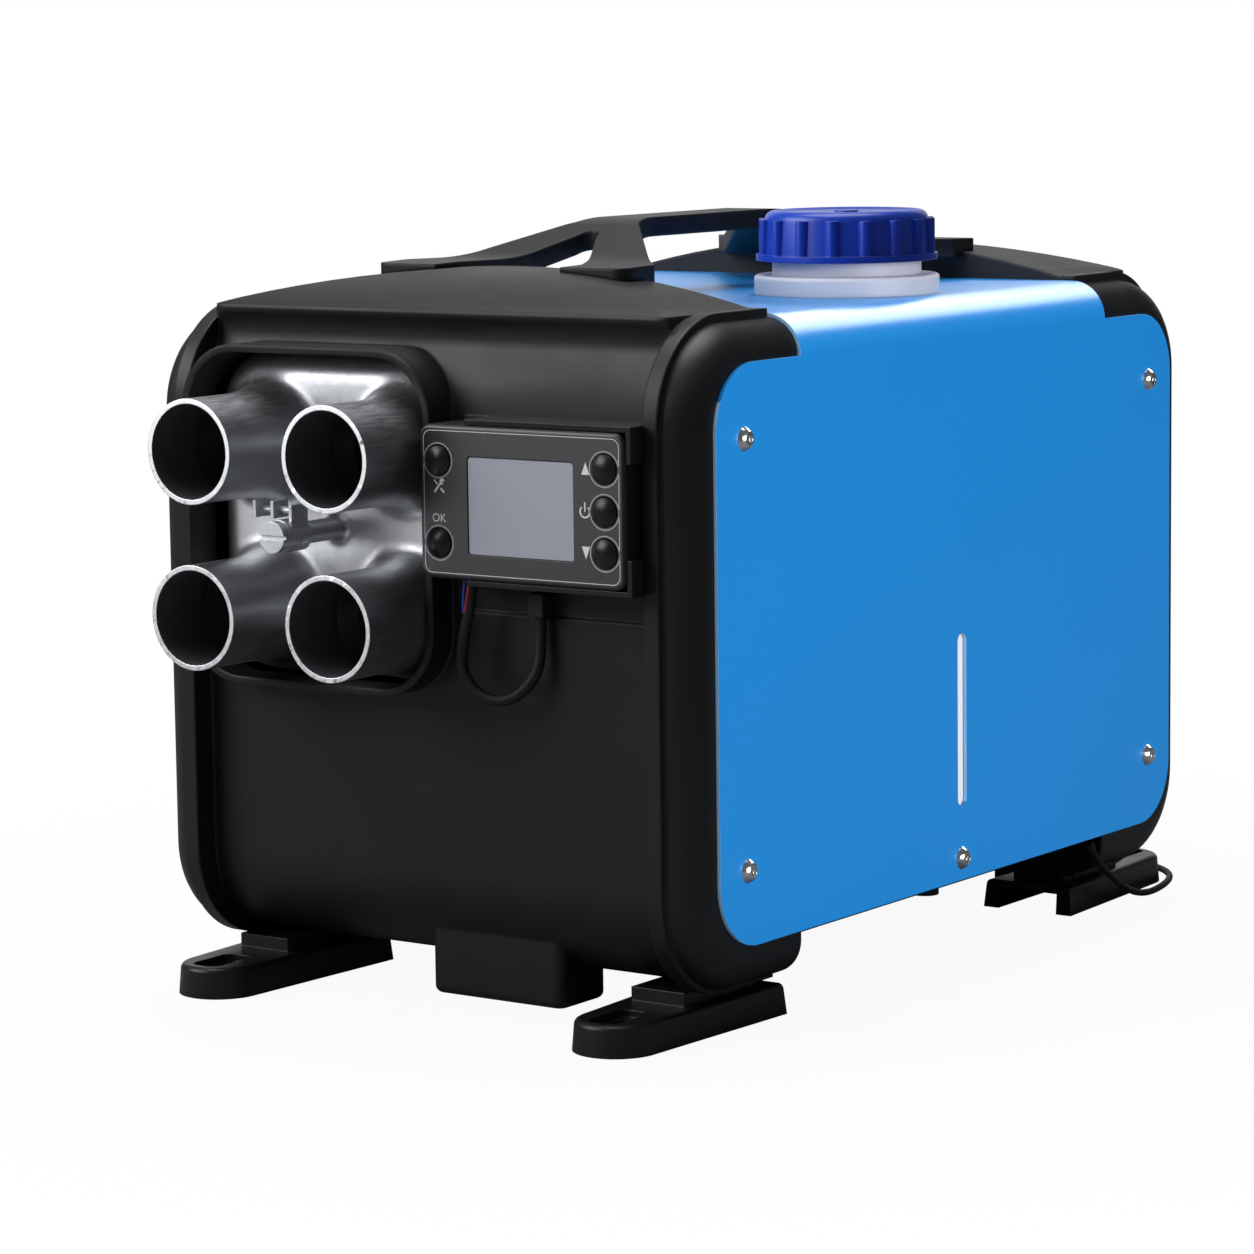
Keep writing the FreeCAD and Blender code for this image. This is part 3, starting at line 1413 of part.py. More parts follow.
def make_heater_unit():
    x = -S.outlet_x
    z = S.outlet_z
    low_z = z - S.case_half_height
    case_half("heater_case_lower", -S.case_half_height, ZERO)
    case_half("heater_case_upper", ZERO, S.case_half_height)
    fins = bladed("exchanger_fins", S.exchanger_radius, S.exchanger_fin_tip, S.exchanger_fin_wall, EXCHANGER_FINS,
                  -S.exchanger_front, S.exchanger_front + S.exchanger_back, S.exchanger_radius - S.exchanger_wall)
    side = S.case_half - S.case_shell
    head = S.case_half_height - S.case_shell - S.sensor_height
    keep("heat_exchanger", common(fins, box(x - side, x + side, -S.exchanger_front, S.exchanger_back,
                                            z - head, z + head)))
    sleeve = rod(x, z, -S.chamber_front, S.exchanger_radius - S.exchanger_wall, S.chamber_front + S.chamber_back)
    space = rod(x, z, -S.chamber_front - S.overrun, S.chamber_radius, S.chamber_front + S.chamber_back + S.overrun * 2)
    plug_bore = cylinder(x, -S.glow_y, z, S.glow_radius, S.exchanger_radius)
    keep("combustion_chamber", cut(cut(sleeve, space), plug_bore))
    plug_top = z + S.exchanger_radius - S.exchanger_wall - S.slide_gap * 2
    keep("glow_plug", cylinder(x, -S.glow_y, plug_top - S.glow_length, S.glow_radius, S.glow_length))
    keep("combustion_wheel", bladed("burner_wheel", S.burner_wheel_hub, S.burner_wheel_tip, S.blade_wall, WHEEL_BLADES,
                                    S.burner_wheel_front, S.burner_wheel_depth, S.shaft_radius))
    keep("air_fan", bladed("fan_wheel", S.fan_hub, S.fan_tip, S.blade_wall, FAN_BLADES, S.fan_front, S.fan_depth,
                           S.shaft_radius))
    keep("motor_shaft", rod(x, z, S.shaft_front, S.shaft_radius, S.fan_front + S.fan_depth - S.shaft_front))
    motor = rod(x, z, S.motor_front, S.motor_radius, S.motor_depth)
    arm_half = S.motor_arm_width / 2
    arm = box(x - S.motor_arm, x + S.motor_arm, S.motor_front, S.motor_front + S.motor_arm_depth,
              z - arm_half, z + arm_half)
    bore = rod(x, z, S.motor_front - S.overrun, S.shaft_bore, S.motor_depth + S.overrun * 2)
    keep("blower_motor", cut(fuse(motor, arm), bore))
    ceiling = z + S.case_half_height - S.case_shell
    board_half = S.unit_board_left
    board = box(x - board_half, x + board_half, S.unit_board_front, S.unit_board_back,
                ceiling - S.unit_board_drop - S.unit_board_wall, ceiling - S.unit_board_drop)
    posts = [box(side, side + S.unit_board_drop, S.unit_board_front, S.unit_board_back, ceiling - S.unit_board_drop,
                 ceiling) for side in (x - board_half, x + board_half - S.unit_board_drop)]
    keep("control_board", fuse(board, *posts))
    keep("overheat_sensor", box(x - S.sensor_half, x + S.sensor_half, -S.sensor_y - S.sensor_half,
                                S.sensor_half - S.sensor_y, ceiling - S.sensor_height, ceiling))
    pipes = (("exhaust_pipe", x - S.pipe_spread, S.exhaust_radius), ("intake_pipe", x + S.pipe_spread, S.intake_radius))
    holes = []
    for label, pipe_x, radius in pipes:
        stub = cylinder(pipe_x, S.pipe_y, S.pipe_end, radius, S.pipe_step - S.pipe_end)
        root = cylinder(pipe_x, S.pipe_y, S.pipe_step, radius + S.pipe_step_wall, low_z - S.pipe_step)
        inner = cylinder(pipe_x, S.pipe_y, S.pipe_end - S.overrun, radius - S.pipe_wall,
                         low_z - S.pipe_end + S.overrun * 2)
        keep(label, cut(fuse(stub, root), inner))
        holes.append(cylinder(pipe_x, S.pipe_y, ZERO, radius + S.pipe_step_wall, S.tank_top))
    gasket = box(x - S.gasket_half, x + S.gasket_half, S.pipe_y - S.stand_front, S.pipe_y + S.stand_front,
                 S.stand_top, low_z)
    keep("heater_gasket", cut(gasket, fuse(*holes)))
    floor = S.pan_level + S.pan_wall
    legs = [box(side, side + S.stand_wall, -S.stand_front, S.stand_back, floor, S.stand_top)
            for side in (x - S.stand_half, x + S.stand_half - S.stand_wall)]
    deck = box(x - S.stand_half, x + S.stand_half, -S.stand_front, S.stand_back, S.stand_top - S.stand_wall, S.stand_top)
    keep("heater_stand", cut(fuse(deck, *legs), fuse(*holes)))


def make_intake():
    x = -S.outlet_x
    z = S.outlet_z
    duct = new_body("intake_collar")
    back = -S.duct_end
    prism(duct, "XZ_Plane", [Ring(x, z, S.duct_radius), Ring(x, z, S.duct_bore)], back, S.duct_end - S.case_rear)
    plate = rounded(x - S.case_half, x + S.case_half, z - S.case_half_height, z + S.case_half_height, S.case_corner)
    prism(duct, "XZ_Plane", [plate, Ring(x, z, S.duct_bore)], -S.case_rear - S.case_shell, S.case_shell)
    flange_y = -S.face_front - S.duct_flange_wall
    prism(duct, "XZ_Plane", [Ring(x, z, S.duct_flange), Ring(x, z, S.duct_bore)], flange_y, S.duct_flange_wall)
    half = S.guard_bar / 2
    reach = S.duct_bore + (S.duct_radius - S.duct_bore) / 2
    prism(duct, "XZ_Plane", [rect(x - reach, x + reach, z - half, z + half)], back, S.guard_depth)
    prism(duct, "XZ_Plane", [rect(x - half, x + half, z - reach, z + reach)], back, S.guard_depth)
    ring = [Ring(x, z, S.guard_ring + S.guard_ring_width), Ring(x, z, S.guard_ring)]
    prism(duct, "XZ_Plane", ring, back, S.guard_depth)
    keep("intake_collar", duct)


# routed tubes
def rounded_route(points):
    """Straight runs joined by tangent arcs, each as large as its shorter run allows; also the least radius."""
    spots = [Vector(*p) for p in points]
    edges = []
    radii = []
    start = spots[0]
    for before, corner, after in zip(spots, spots[1:], spots[2:]):
        run_in = corner - before
        run_out = after - corner
        turn = run_in.getAngle(run_out)
        reach = BEND_SHARE * min(run_in.Length, run_out.Length)
        radius = reach / math.tan(turn / 2)
        unit_in = Vector(run_in).normalize()
        unit_out = Vector(run_out).normalize()
        inward = (unit_out - unit_in).normalize()
        bend_start = corner - unit_in * reach
        bend_end = corner + unit_out * reach
        middle = corner + inward * (radius / math.cos(turn / 2) - radius)
        edges.append(Part.LineSegment(start, bend_start).toShape())
        edges.append(Part.Arc(bend_start, middle, bend_end).toShape())
        radii.append(radius)
        start = bend_end
    edges.append(Part.LineSegment(start, spots[-1]).toShape())
    return Part.Wire(edges), min(radii)


def tube_on(wire, start, direction, radius):
    section = Part.Wire(Part.Circle(start, direction, radius.value).toShape())
    return wire.makePipeShell([section], True, False)


def moved(points, x, y, z):
    """Points measured from a place, brought into the shared frame."""
    return [(p[0] + x.value, p[1] + y.value, p[2] + z.value) for p in points]


def routed(label, points, radius):
    wire, least = rounded_route(points)
    start = Vector(*points[0])
    shape = tube_on(wire, start, Vector(*points[1]) - start, radius)
    share = shape.Volume / (math.pi * radius.value ** 2 * wire.Length)
    print(f"{label}: length {wire.Length:.1f}, least bend radius {least:.1f}, volume share {share:.4f}")
    keep_shape(label, shape)


def biarc(start, start_way, end, end_way):
    """Two arcs that leave start and reach end along the given ways."""
    gap = end - start
    way = start_way + end_way
    spread = 2 * (1 - start_way.dot(end_way))
    along = gap.dot(way)
    reach = (math.sqrt(along * along + spread * gap.dot(gap)) - along) / spread
    middle = (start + end + (start_way - end_way) * reach) * EVEN_SHARE

    def arc(foot, tip, foot_way):
        chord = tip - foot
        flat = Vector(chord).normalize()
        side = foot_way - flat * foot_way.dot(flat)
        bulge = math.tan(foot_way.getAngle(chord) / 2) * chord.Length / 2
        return Part.Arc(foot, foot + chord * EVEN_SHARE + side.normalize() * bulge, tip)

    return [arc(start, middle, start_way).toShape(), arc(end, middle, end_way * -1).toShape()]


def coil_point(turn):
    """Centre line of the coil: inward on the lower layer, up a layer in half a turn, outward on the upper."""
    inner = S.coil_radius.value - S.coil_pitch.value * COIL_TURNS
    lower = S.lead_radius.value + S.coil_lift.value
    past = turn - COIL_TURNS
    if past < 0:
        radius = S.coil_radius.value - S.coil_pitch.value * turn
        height = lower
    elif past < EVEN_SHARE:
        radius = inner
        height = lower + S.coil_layer.value * past / EVEN_SHARE
    else:
        radius = inner + S.coil_pitch.value * (past - EVEN_SHARE)
        height = lower + S.coil_layer.value
    angle = math.pi * EVEN_SHARE + 2 * math.pi * turn
    return Vector(S.coil_x.value + radius * math.cos(angle), S.coil_y.value + radius * math.sin(angle), height)


def make_coil():
    turns = 2 * COIL_TURNS + EVEN_SHARE
    steps = int(turns * 4)
    knots = [turns * step / steps for step in range(steps + 1)]
    look = EVEN_SHARE / steps
    ways = [(coil_point(turn + look) - coil_point(turn - look)).normalize() for turn in knots]
    ways[0] = Vector(-1, 0, 0)
    ways[-1] = Vector(1, 0, 0)
    start = coil_point(knots[0]) - ways[0] * (2 * S.lead_radius.value)
    edges = [Part.LineSegment(start, coil_point(knots[0])).toShape()]
    for index in range(steps):
        edges += biarc(coil_point(knots[index]), ways[index], coil_point(knots[index + 1]), ways[index + 1])
    tail = coil_point(knots[-1]) + ways[-1] * S.coil_tail.value
    edges.append(Part.LineSegment(coil_point(knots[-1]), tail).toShape())
    wire = Part.Wire(Part.__sortEdges__(edges))
    shape = tube_on(wire, start, ways[0], S.lead_radius)
    line = wire.discretize(steps * 24)
    skip = int(steps * 24 * EVEN_SHARE / turns)
    closest = min((a - b).Length for i, a in enumerate(line) for b in line[i + skip:])
    share = shape.Volume / (math.pi * S.lead_radius.value ** 2 * wire.Length)
    print(f"power_coil: length {wire.Length:.1f}, gap to itself {closest - 2 * S.lead_radius.value:.2f}, "
          f"volume share {share:.4f}")
    keep_shape("power_coil", shape)
    return tail


def make_lead():
    tail = make_coil()
    drop = moved(LEAD_FROM_GLAND, S.gland_x, S.gland_y, S.gland_z)
    routed("power_lead", drop + list(LEAD_ON_FLOOR), S.lead_radius)
    gland = cylinder(S.gland_x, S.gland_y, S.gland_z, S.gland_radius, S.gland_length / 2,
                     FreeCAD.Rotation(Vector(1, 0, 0), -GLAND_TILT))
    keep("lead_gland", gland)
    inner = S.coil_radius - S.coil_pitch * COIL_TURNS - S.lead_radius - S.tie_play
    outer = S.coil_radius + S.lead_radius + S.tie_play
    low = S.coil_lift - S.tie_play
    high = S.coil_lift + S.coil_layer + S.lead_radius * 2 + S.tie_play
    half = S.tie_width / 2
    wall = S.tie_wall
    x = S.coil_x
    y = S.coil_y
    band = box(x - outer - wall, x - inner + wall, y - half, y + half, low - wall, high + wall)
    space = box(x - outer, x - inner, y - half - S.overrun, y + half + S.overrun, low, high)
    keep("lead_tie", cut(band, space))
    plug = doc.addObject("Part::Box", "Box")
    plug.setExpression("Length", S.plug_length.text)
    plug.setExpression("Width", S.plug_width.text)
    plug.setExpression("Height", S.plug_height.text)
    plug.Placement.Base = Vector(tail.x, tail.y - S.plug_width.value / 2, tail.z - S.plug_height.value / 2)
    pins = []
    for side in (-S.plug_pin_half.value, S.plug_pin_half.value):
        pin = doc.addObject("Part::Cylinder", "Pin")
        pin.setExpression("Radius", S.plug_pin_radius.text)
        pin.setExpression("Height", (S.plug_pin_length + S.plug_pin_radius).text)
        foot = Vector(tail.x + S.plug_length.value - S.plug_pin_radius.value, tail.y + side, tail.z)
        pin.Placement = FreeCAD.Placement(foot, TO_RIGHT)
        pins.append(pin)
    keep("power_plug", fuse(plug, *pins))


# fuel pump and hoses
def make_pump():
    x = -S.pump_x
    z = S.pump_z
    pump = rod(x, z, -S.pump_front, S.pump_radius, S.pump_length)
    nose = S.pump_nose_length
    noses = rod(x, z, -S.pump_front - nose, S.pump_nose_radius, S.pump_length + nose * 2)
    keep("fuel_pump", fuse(pump, noses))
    floor = S.pan_level + S.pan_wall
    block = box(x - S.pump_mount_half, x + S.pump_mount_half, -S.pump_mount_front,
                S.pump_mount_depth - S.pump_mount_front, floor, z)
    bed = rod(x, z, -S.pump_front - S.overrun, S.pump_radius, S.pump_length + S.overrun * 2)
    keep("pump_mount", cut(block, bed))
    pump_back = S.pump_length - S.pump_front
    inlet = moved(FEED_FROM_TANK, S.tank_left, -S.tank_half, S.pan_level)
    inlet += moved(FEED_TO_PUMP, x, -S.pump_front - nose, z)
    routed("fuel_hose_feed", inlet, S.hose_radius)
    outlet = moved(BURNER_FROM_PUMP, x, pump_back + nose, z)
    outlet += moved(BURNER_TO_UNIT, -S.outlet_x, ZERO, S.outlet_z - S.case_half_height)
    routed("fuel_hose_burner", outlet, S.hose_radius)


# controller
def make_controller():
    left = S.panel_left
    right = S.panel_right
    low = S.panel_low
    high = S.panel_high
    wall = S.bracket_wall
    gap = S.bracket_gap
    bracket = new_body("controller_bracket")
    plate = rect(S.bracket_left, S.bracket_right, low - gap - wall, high + gap + wall)
    prism(bracket, "XZ_Plane", [plate], S.bracket_back, S.bracket_front - S.bracket_back)
    for arm_low in (low - gap - wall, high + gap):
        arm = rect(S.bracket_arm_left, S.bracket_arm_right, arm_low, arm_low + wall)
        prism(bracket, "XZ_Plane", [arm], S.bracket_back, S.bracket_arm_front - S.bracket_back)
    ear_left = right + gap
    for ear_low in (low - gap - wall, high + gap + wall - S.ear_height):
        ear = rect(ear_left, S.ear_right, ear_low, ear_low + S.ear_height)
        prism(bracket, "XZ_Plane", [ear], S.ear_back, S.bracket_arm_front - S.ear_back)
    keep("controller_bracket", bracket)
    outline = rounded(left, right, low, high, S.panel_round)
    shell = S.shell_wall
    inside = rounded(left + shell, right - shell, low + shell, high - shell, S.panel_round - shell)
    case = new_body("controller_case")
    prism(case, "XZ_Plane", [outline], S.bracket_front, S.case_front - S.bracket_front)
    prism(case, "XZ_Plane", [inside], S.bracket_front + shell, S.case_front - S.bracket_front, cut=True)
    inset = S.circuit_post_inset
    posts = [Ring(x, z, S.circuit_post_radius) for x in (left + inset, right - inset)
             for z in (low + inset, high - inset)]
    prism(case, "XZ_Plane", posts, S.bracket_front, S.circuit_back - S.bracket_front)
    keep("controller_case", case)
    margin = S.circuit_margin
    keep("controller_board", box(left + margin, right - margin, -S.screen_back, -S.circuit_back,
                                 low + margin, high - margin))
    bezel = new_body("controller_bezel")
    pad = prism(bezel, "XZ_Plane", [outline], S.case_front, S.bezel_front - S.case_front)
    round_edges(bezel, pad, S.bezel_edge, lambda box: near(box.YMax, -S.bezel_front))
    prism(bezel, "XZ_Plane", [inside], S.bracket_front, S.bezel_front - S.bezel_face - S.bracket_front, cut=True)
    window = rounded(S.window_left, S.window_right, S.window_low, S.window_high, S.window_round)
    keys = (
        ("button_set", S.key_left_x, S.key_top_z),
        ("button_ok", S.key_left_x, S.key_low_z),
        ("button_up", S.key_right_x, S.key_top_z),
        ("button_power", S.key_right_x, S.key_middle_z),
        ("button_down", S.key_right_x, S.key_low_z),
    )
    holes = [Ring(x, z, S.key_hole) for _, x, z in keys]
    prism(bezel, "XZ_Plane", [window] + holes, S.case_front, S.overrun, cut=True)
    keep("controller_bezel", bezel)
    gap = S.glass_gap
    display = new_body("controller_display")
    edge = S.screen_margin
    module = rect(S.window_left - edge, S.window_right + edge, S.window_low - edge, S.window_high + edge)
    prism(display, "XZ_Plane", [module], S.screen_back, S.bezel_front - S.bezel_face - S.screen_back)
    glass = rounded(S.window_left + gap, S.window_right - gap, S.window_low + gap, S.window_high - gap,
                    S.window_round - gap)
    prism(display, "XZ_Plane", [glass], S.screen_back, S.glass_front - S.screen_back)
    keep("controller_display", display)
    for label, x, z in keys:
        make_key(label, x, z)


def make_key(label, x, z):
    """A domed key drawn upright and tipped to face the front."""
    body = new_body(label)
    rise = S.bezel_front + S.key_stand - S.key_back
    flange_top = S.bezel_front - S.bezel_face - S.slide_gap - S.key_back
    dome = S.key_dome
    profile = [
        (ZERO, ZERO),
        (S.key_radius, ZERO),
        (S.key_radius, flange_top - S.key_flange_wall),
        (S.key_flange, flange_top - S.key_flange_wall),
        (S.key_flange, flange_top),
        (S.key_radius, flange_top),
        (S.key_radius, rise, (S.key_radius * S.key_radius + dome * dome) / (dome * 2), 1),
        (ZERO, rise + dome),
    ]
    revolved(body, [profile])
    place(body, x, -S.key_back, z, FreeCAD.Rotation(Vector(1, 0, 0), 90))
    keep(label, body)


def make_cable():
    body = new_body("cable_connector")
    outline = rounded(S.connector_left, S.connector_right, S.connector_low, S.connector_high, S.connector_edge)
    back = S.face_front - S.seat_depth
    prism(body, "XZ_Plane", [outline], back, S.connector_front - back)
    keep("cable_connector", body)
    routed("controller_cable", moved(CABLE_FROM_PANEL, S.panel_x, -S.bracket_back, S.panel_low), S.cable_radius)


make_side_shell()
make_covers()
make_base_pan()
make_feet()
foot_screw_group()
handle_screw_group()
shell_bolt_group()
make_handle()
make_tank()
make_filler()
make_outlets()
make_heater_unit()
make_intake()
make_pump()
make_controller()
make_cable()
make_lead()
doc.recompute()

faults = [f"{o.Name}: {o.State}" for o in doc.Objects if "Invalid" in o.State or "Error" in o.State]
for label, shape in nodes.items():
    if shape.Shape.isNull() or not shape.Shape.isValid():
        faults.append(f"{label}: no valid shape")
if faults:
    raise RuntimeError("; ".join(faults))

os.makedirs("parts", exist_ok=True)
for label, shape in nodes.items():
    shape.Shape.exportStep(f"parts/{label}.step")
    bounds = shape.Shape.BoundBox
    print(f"{label}: {len(shape.Shape.Solids)} solids, volume {shape.Shape.Volume:.0f}, "
          f"x {bounds.XMin:.1f} {bounds.XMax:.1f} y {bounds.YMin:.1f} {bounds.YMax:.1f} "
          f"z {bounds.ZMin:.1f} {bounds.ZMax:.1f}")
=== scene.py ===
"""Parking heater: materials, fine detail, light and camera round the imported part."""

import json
import math

import bmesh
import bpy
import numpy as np
from mathutils import Matrix, Vector

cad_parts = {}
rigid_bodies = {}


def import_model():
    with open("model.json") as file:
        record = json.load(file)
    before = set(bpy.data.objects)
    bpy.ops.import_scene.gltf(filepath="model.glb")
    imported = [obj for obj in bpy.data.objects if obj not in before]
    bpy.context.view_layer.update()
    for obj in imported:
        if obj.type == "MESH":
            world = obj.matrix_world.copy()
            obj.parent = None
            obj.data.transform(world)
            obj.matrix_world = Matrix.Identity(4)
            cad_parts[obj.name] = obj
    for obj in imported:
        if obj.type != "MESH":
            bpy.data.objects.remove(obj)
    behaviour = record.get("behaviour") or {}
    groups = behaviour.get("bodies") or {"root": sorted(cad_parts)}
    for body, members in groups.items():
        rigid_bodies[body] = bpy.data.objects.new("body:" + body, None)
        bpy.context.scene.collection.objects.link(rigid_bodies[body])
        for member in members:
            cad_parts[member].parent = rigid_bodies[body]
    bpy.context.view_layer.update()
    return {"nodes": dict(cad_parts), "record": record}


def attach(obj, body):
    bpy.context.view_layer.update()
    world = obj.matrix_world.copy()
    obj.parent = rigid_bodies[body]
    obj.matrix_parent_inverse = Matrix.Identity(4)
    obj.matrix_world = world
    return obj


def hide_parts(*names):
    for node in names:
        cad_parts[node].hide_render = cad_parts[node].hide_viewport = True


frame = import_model()
nodes = frame["nodes"]

MM = 0.001
WELD = 0.002 * MM


# materials
NOISE_LOW = 0.3
NOISE_HIGH = 0.7
BEVEL_SAMPLES = 6
GRAIN_DEPTH = 0.1 * MM
METAL_EDGE = 0.4 * MM
PAINT_EDGE = 0.4 * MM
MILKY_EDGE = 0.8 * MM
MILKY_REACH = 4 * MM


def colour(text):
    """Linear colour of a #rrggbb text."""
    values = [int(text[i:i + 2], 16) / 255 for i in (1, 3, 5)]
    return [v / 12.92 if v <= 0.04045 else ((v + 0.055) / 1.055) ** 2.4 for v in values] + [1.0]


def darker(shade, share):
    """The same colour, less bright by a share."""
    return [c * (1 - share) for c in shade[:3]] + [1.0]


def new_material(name):
    material = bpy.data.materials.new(name)
    material.use_nodes = True
    tree = material.node_tree
    shader = next(n for n in tree.nodes if n.type == "BSDF_PRINCIPLED")
    return material, tree, shader


def noise(tree, scale, detail, stretch=(1, 1, 1)):
    """Noise in the object's frame, in metres, stretched along the axes as asked."""
    place = tree.nodes.new("ShaderNodeTexCoord")
    mapping = tree.nodes.new("ShaderNodeMapping")
    mapping.inputs["Scale"].default_value = stretch
    tree.links.new(place.outputs["Object"], mapping.inputs["Vector"])
    texture = tree.nodes.new("ShaderNodeTexNoise")
    texture.inputs["Scale"].default_value = scale
    texture.inputs["Detail"].default_value = detail
    tree.links.new(mapping.outputs["Vector"], texture.inputs["Vector"])
    return texture.outputs["Fac"]


def spread(tree, value, low, high):
    """Maps noise to a range."""
    span = tree.nodes.new("ShaderNodeMapRange")
    span.inputs["From Min"].default_value = NOISE_LOW
    span.inputs["From Max"].default_value = NOISE_HIGH
    span.inputs["To Min"].default_value = low
    span.inputs["To Max"].default_value = high
    tree.links.new(value, span.inputs["Value"])
    return span.outputs["Result"]


def tint(tree, value, first, second):
    """Mixes two colours by a value."""
    mix = tree.nodes.new("ShaderNodeMix")
    mix.data_type = "RGBA"
    mix.inputs[6].default_value = first
    mix.inputs[7].default_value = second
    tree.links.new(value, mix.inputs[0])
    return mix.outputs[2]


def soften(tree, shader, radius, grain, strength):
    """Rounds edges in the shading and adds a fine grain."""
    bevel = tree.nodes.new("ShaderNodeBevel")
    bevel.samples = BEVEL_SAMPLES
    bevel.inputs["Radius"].default_value = radius
    bump = tree.nodes.new("ShaderNodeBump")
    bump.inputs["Strength"].default_value = strength
    bump.inputs["Distance"].default_value = GRAIN_DEPTH
    tree.links.new(grain, bump.inputs["Height"])
    tree.links.new(bevel.outputs["Normal"], bump.inputs["Normal"])
    tree.links.new(bump.outputs["Normal"], shader.inputs["Normal"])


def plastic(name, base, rough, edge=0.6 * MM, grain=0.12, patch=0.15):
    """Moulded plastic with a fine grain and slightly uneven gloss."""
    material, tree, shader = new_material(name)
    first = colour(base)
    patches = noise(tree, scale=18, detail=4)
    tree.links.new(tint(tree, patches, first, darker(first, patch)), shader.inputs["Base Color"])
    gloss = noise(tree, scale=30, detail=5)
    tree.links.new(spread(tree, gloss, rough - 0.05, rough + 0.05), shader.inputs["Roughness"])
    soften(tree, shader, edge, noise(tree, scale=1400, detail=2), grain)
    return material


def metal(name, base, rough, stretch=(1, 1, 1), scale=600, grain=0.1, patch=0.25, shine=1.0):
    """Bare metal with directional marks."""
    material, tree, shader = new_material(name)
    shader.inputs["Metallic"].default_value = shine
    first = colour(base)
    patches = noise(tree, scale=60, detail=6, stretch=stretch)
    tree.links.new(tint(tree, patches, first, darker(first, patch)), shader.inputs["Base Color"])
    gloss = noise(tree, scale, detail=4, stretch=stretch)
    tree.links.new(spread(tree, gloss, rough - 0.07, rough + 0.09), shader.inputs["Roughness"])
    soften(tree, shader, METAL_EDGE, noise(tree, scale, detail=3, stretch=stretch), grain)
    return material


def paint(name, base, rough):
    """Sprayed paint: faint orange peel under a clear coat."""
    material, tree, shader = new_material(name)
    first = colour(base)
    patches = noise(tree, scale=5, detail=2)
    tree.links.new(tint(tree, patches, first, darker(first, 0.06)), shader.inputs["Base Color"])
    shader.inputs["Roughness"].default_value = rough
    shader.inputs["Specular IOR Level"].default_value = 0.35
    shader.inputs["Coat Weight"].default_value = 0.2
    shader.inputs["Coat Roughness"].default_value = 0.2
    soften(tree, shader, PAINT_EDGE, noise(tree, scale=700, detail=2), strength=0.03)
    return material


def milky(name, base, rough):
    """Translucent white plastic."""
    material, tree, shader = new_material(name)
    shader.inputs["Base Color"].default_value = colour(base)
    shader.inputs["Subsurface Weight"].default_value = 0.35
    shader.inputs["Subsurface Radius"].default_value = (1.0, 1.0, 1.1)
    shader.inputs["Subsurface Scale"].default_value = MILKY_REACH
    gloss = noise(tree, scale=40, detail=3)
    tree.links.new(spread(tree, gloss, rough - 0.04, rough + 0.04), shader.inputs["Roughness"])
    soften(tree, shader, MILKY_EDGE, noise(tree, scale=900, detail=2), strength=0.05)
    return material


def plain(name, base, rough):
    """An even print, wire or screen colour."""
    material, _, shader = new_material(name)
    shader.inputs["Base Color"].default_value = colour(base)
    shader.inputs["Roughness"].default_value = rough
    return material


BLACK = plastic("black moulding", "#1c1c1e", 0.46, edge=1.8 * MM)
FOOT_BLACK = plastic("foot moulding", "#1b1b1d", 0.36, edge=0.8 * MM)
BEZEL_BLACK = plastic("bezel moulding", "#232327", 0.34, edge=0.5 * MM, grain=0.06)
KEY_BLACK = plastic("key", "#17171a", 0.3, edge=0.3 * MM, grain=0.05)
RUBBER = plastic("rubber", "#141415", 0.6, grain=0.1)
BLUE = paint("blue paint", "#0f80cc", 0.36)
# lighter blue for the sheet's cut edges: a painted highlight where the edges catch light
EDGE_HIGHLIGHT_BLUE = paint("blue edge painted highlight", "#9ec9ee", 0.35)
PAN = paint("pan paint", "#242527", 0.5)
CAP_BLUE = plastic("cap blue", "#1843bd", 0.32, grain=0.05, patch=0.08)
MILKY = milky("tank white", "#e6e8f2", 0.4)
CAST = metal("cast aluminium", "#c2c4c8", 0.38, stretch=(3, 0.4, 3), scale=260, grain=0.2, patch=0.35,
             shine=0.92)
CUT = metal("cut aluminium", "#d3d5d8", 0.3, grain=0.03, patch=0.1)
# dark grey for the tube insides: painted shade in the bores
BORE_PAINTED_SHADE = plastic("bore painted shade", "#56575a", 0.5, patch=0.3)
ZINC = metal("zinc", "#c6c9cc", 0.3, scale=500, shine=0.7)
BRIGHT = metal("bright steel", "#e0e1e3", 0.16, grain=0.03, patch=0.06)
SCREEN = plain("screen", "#9a9eab", 0.28)
BOARD = plain("board", "#1f5d3a", 0.5)
PRINT = plain("print", "#d9dadc", 0.5)
KEY_RING = plain("key ring", "#9b9ca0", 0.4)
WIRE_RED = plain("red wire", "#c23436", 0.4)
WIRE_BLUE = plain("blue wire", "#2b4fb4", 0.4)

LOOK = {
    "blue_paint": BLUE, "black_moulding": BLACK, "cap_blue": CAP_BLUE, "tank_white": MILKY,
    "cast_aluminium": CAST, "zinc_steel": ZINC, "bright_steel": BRIGHT, "pan_steel": PAN,
    "black_rubber": RUBBER, "screen_grey": SCREEN, "key_black": KEY_BLACK, "board_green": BOARD,
}
for part in frame["record"]["subparts"]:
    look = nodes[part["node"]].data.materials
    look.clear()
    look.append(LOOK[part["material_slot"]])
for name in ("foot_front_left", "foot_front_right", "foot_rear_left", "foot_rear_right"):
    nodes[name].data.materials[0] = FOOT_BLACK
for name in ("controller_case", "controller_bezel", "controller_bracket"):
    nodes[name].data.materials[0] = BEZEL_BLACK


# shading normals
FLAT_SHARE = math.cos(math.radians(0.5))
SMOOTH_SHARE = math.cos(math.radians(32))
SAME_SPOT = 0.001 * MM


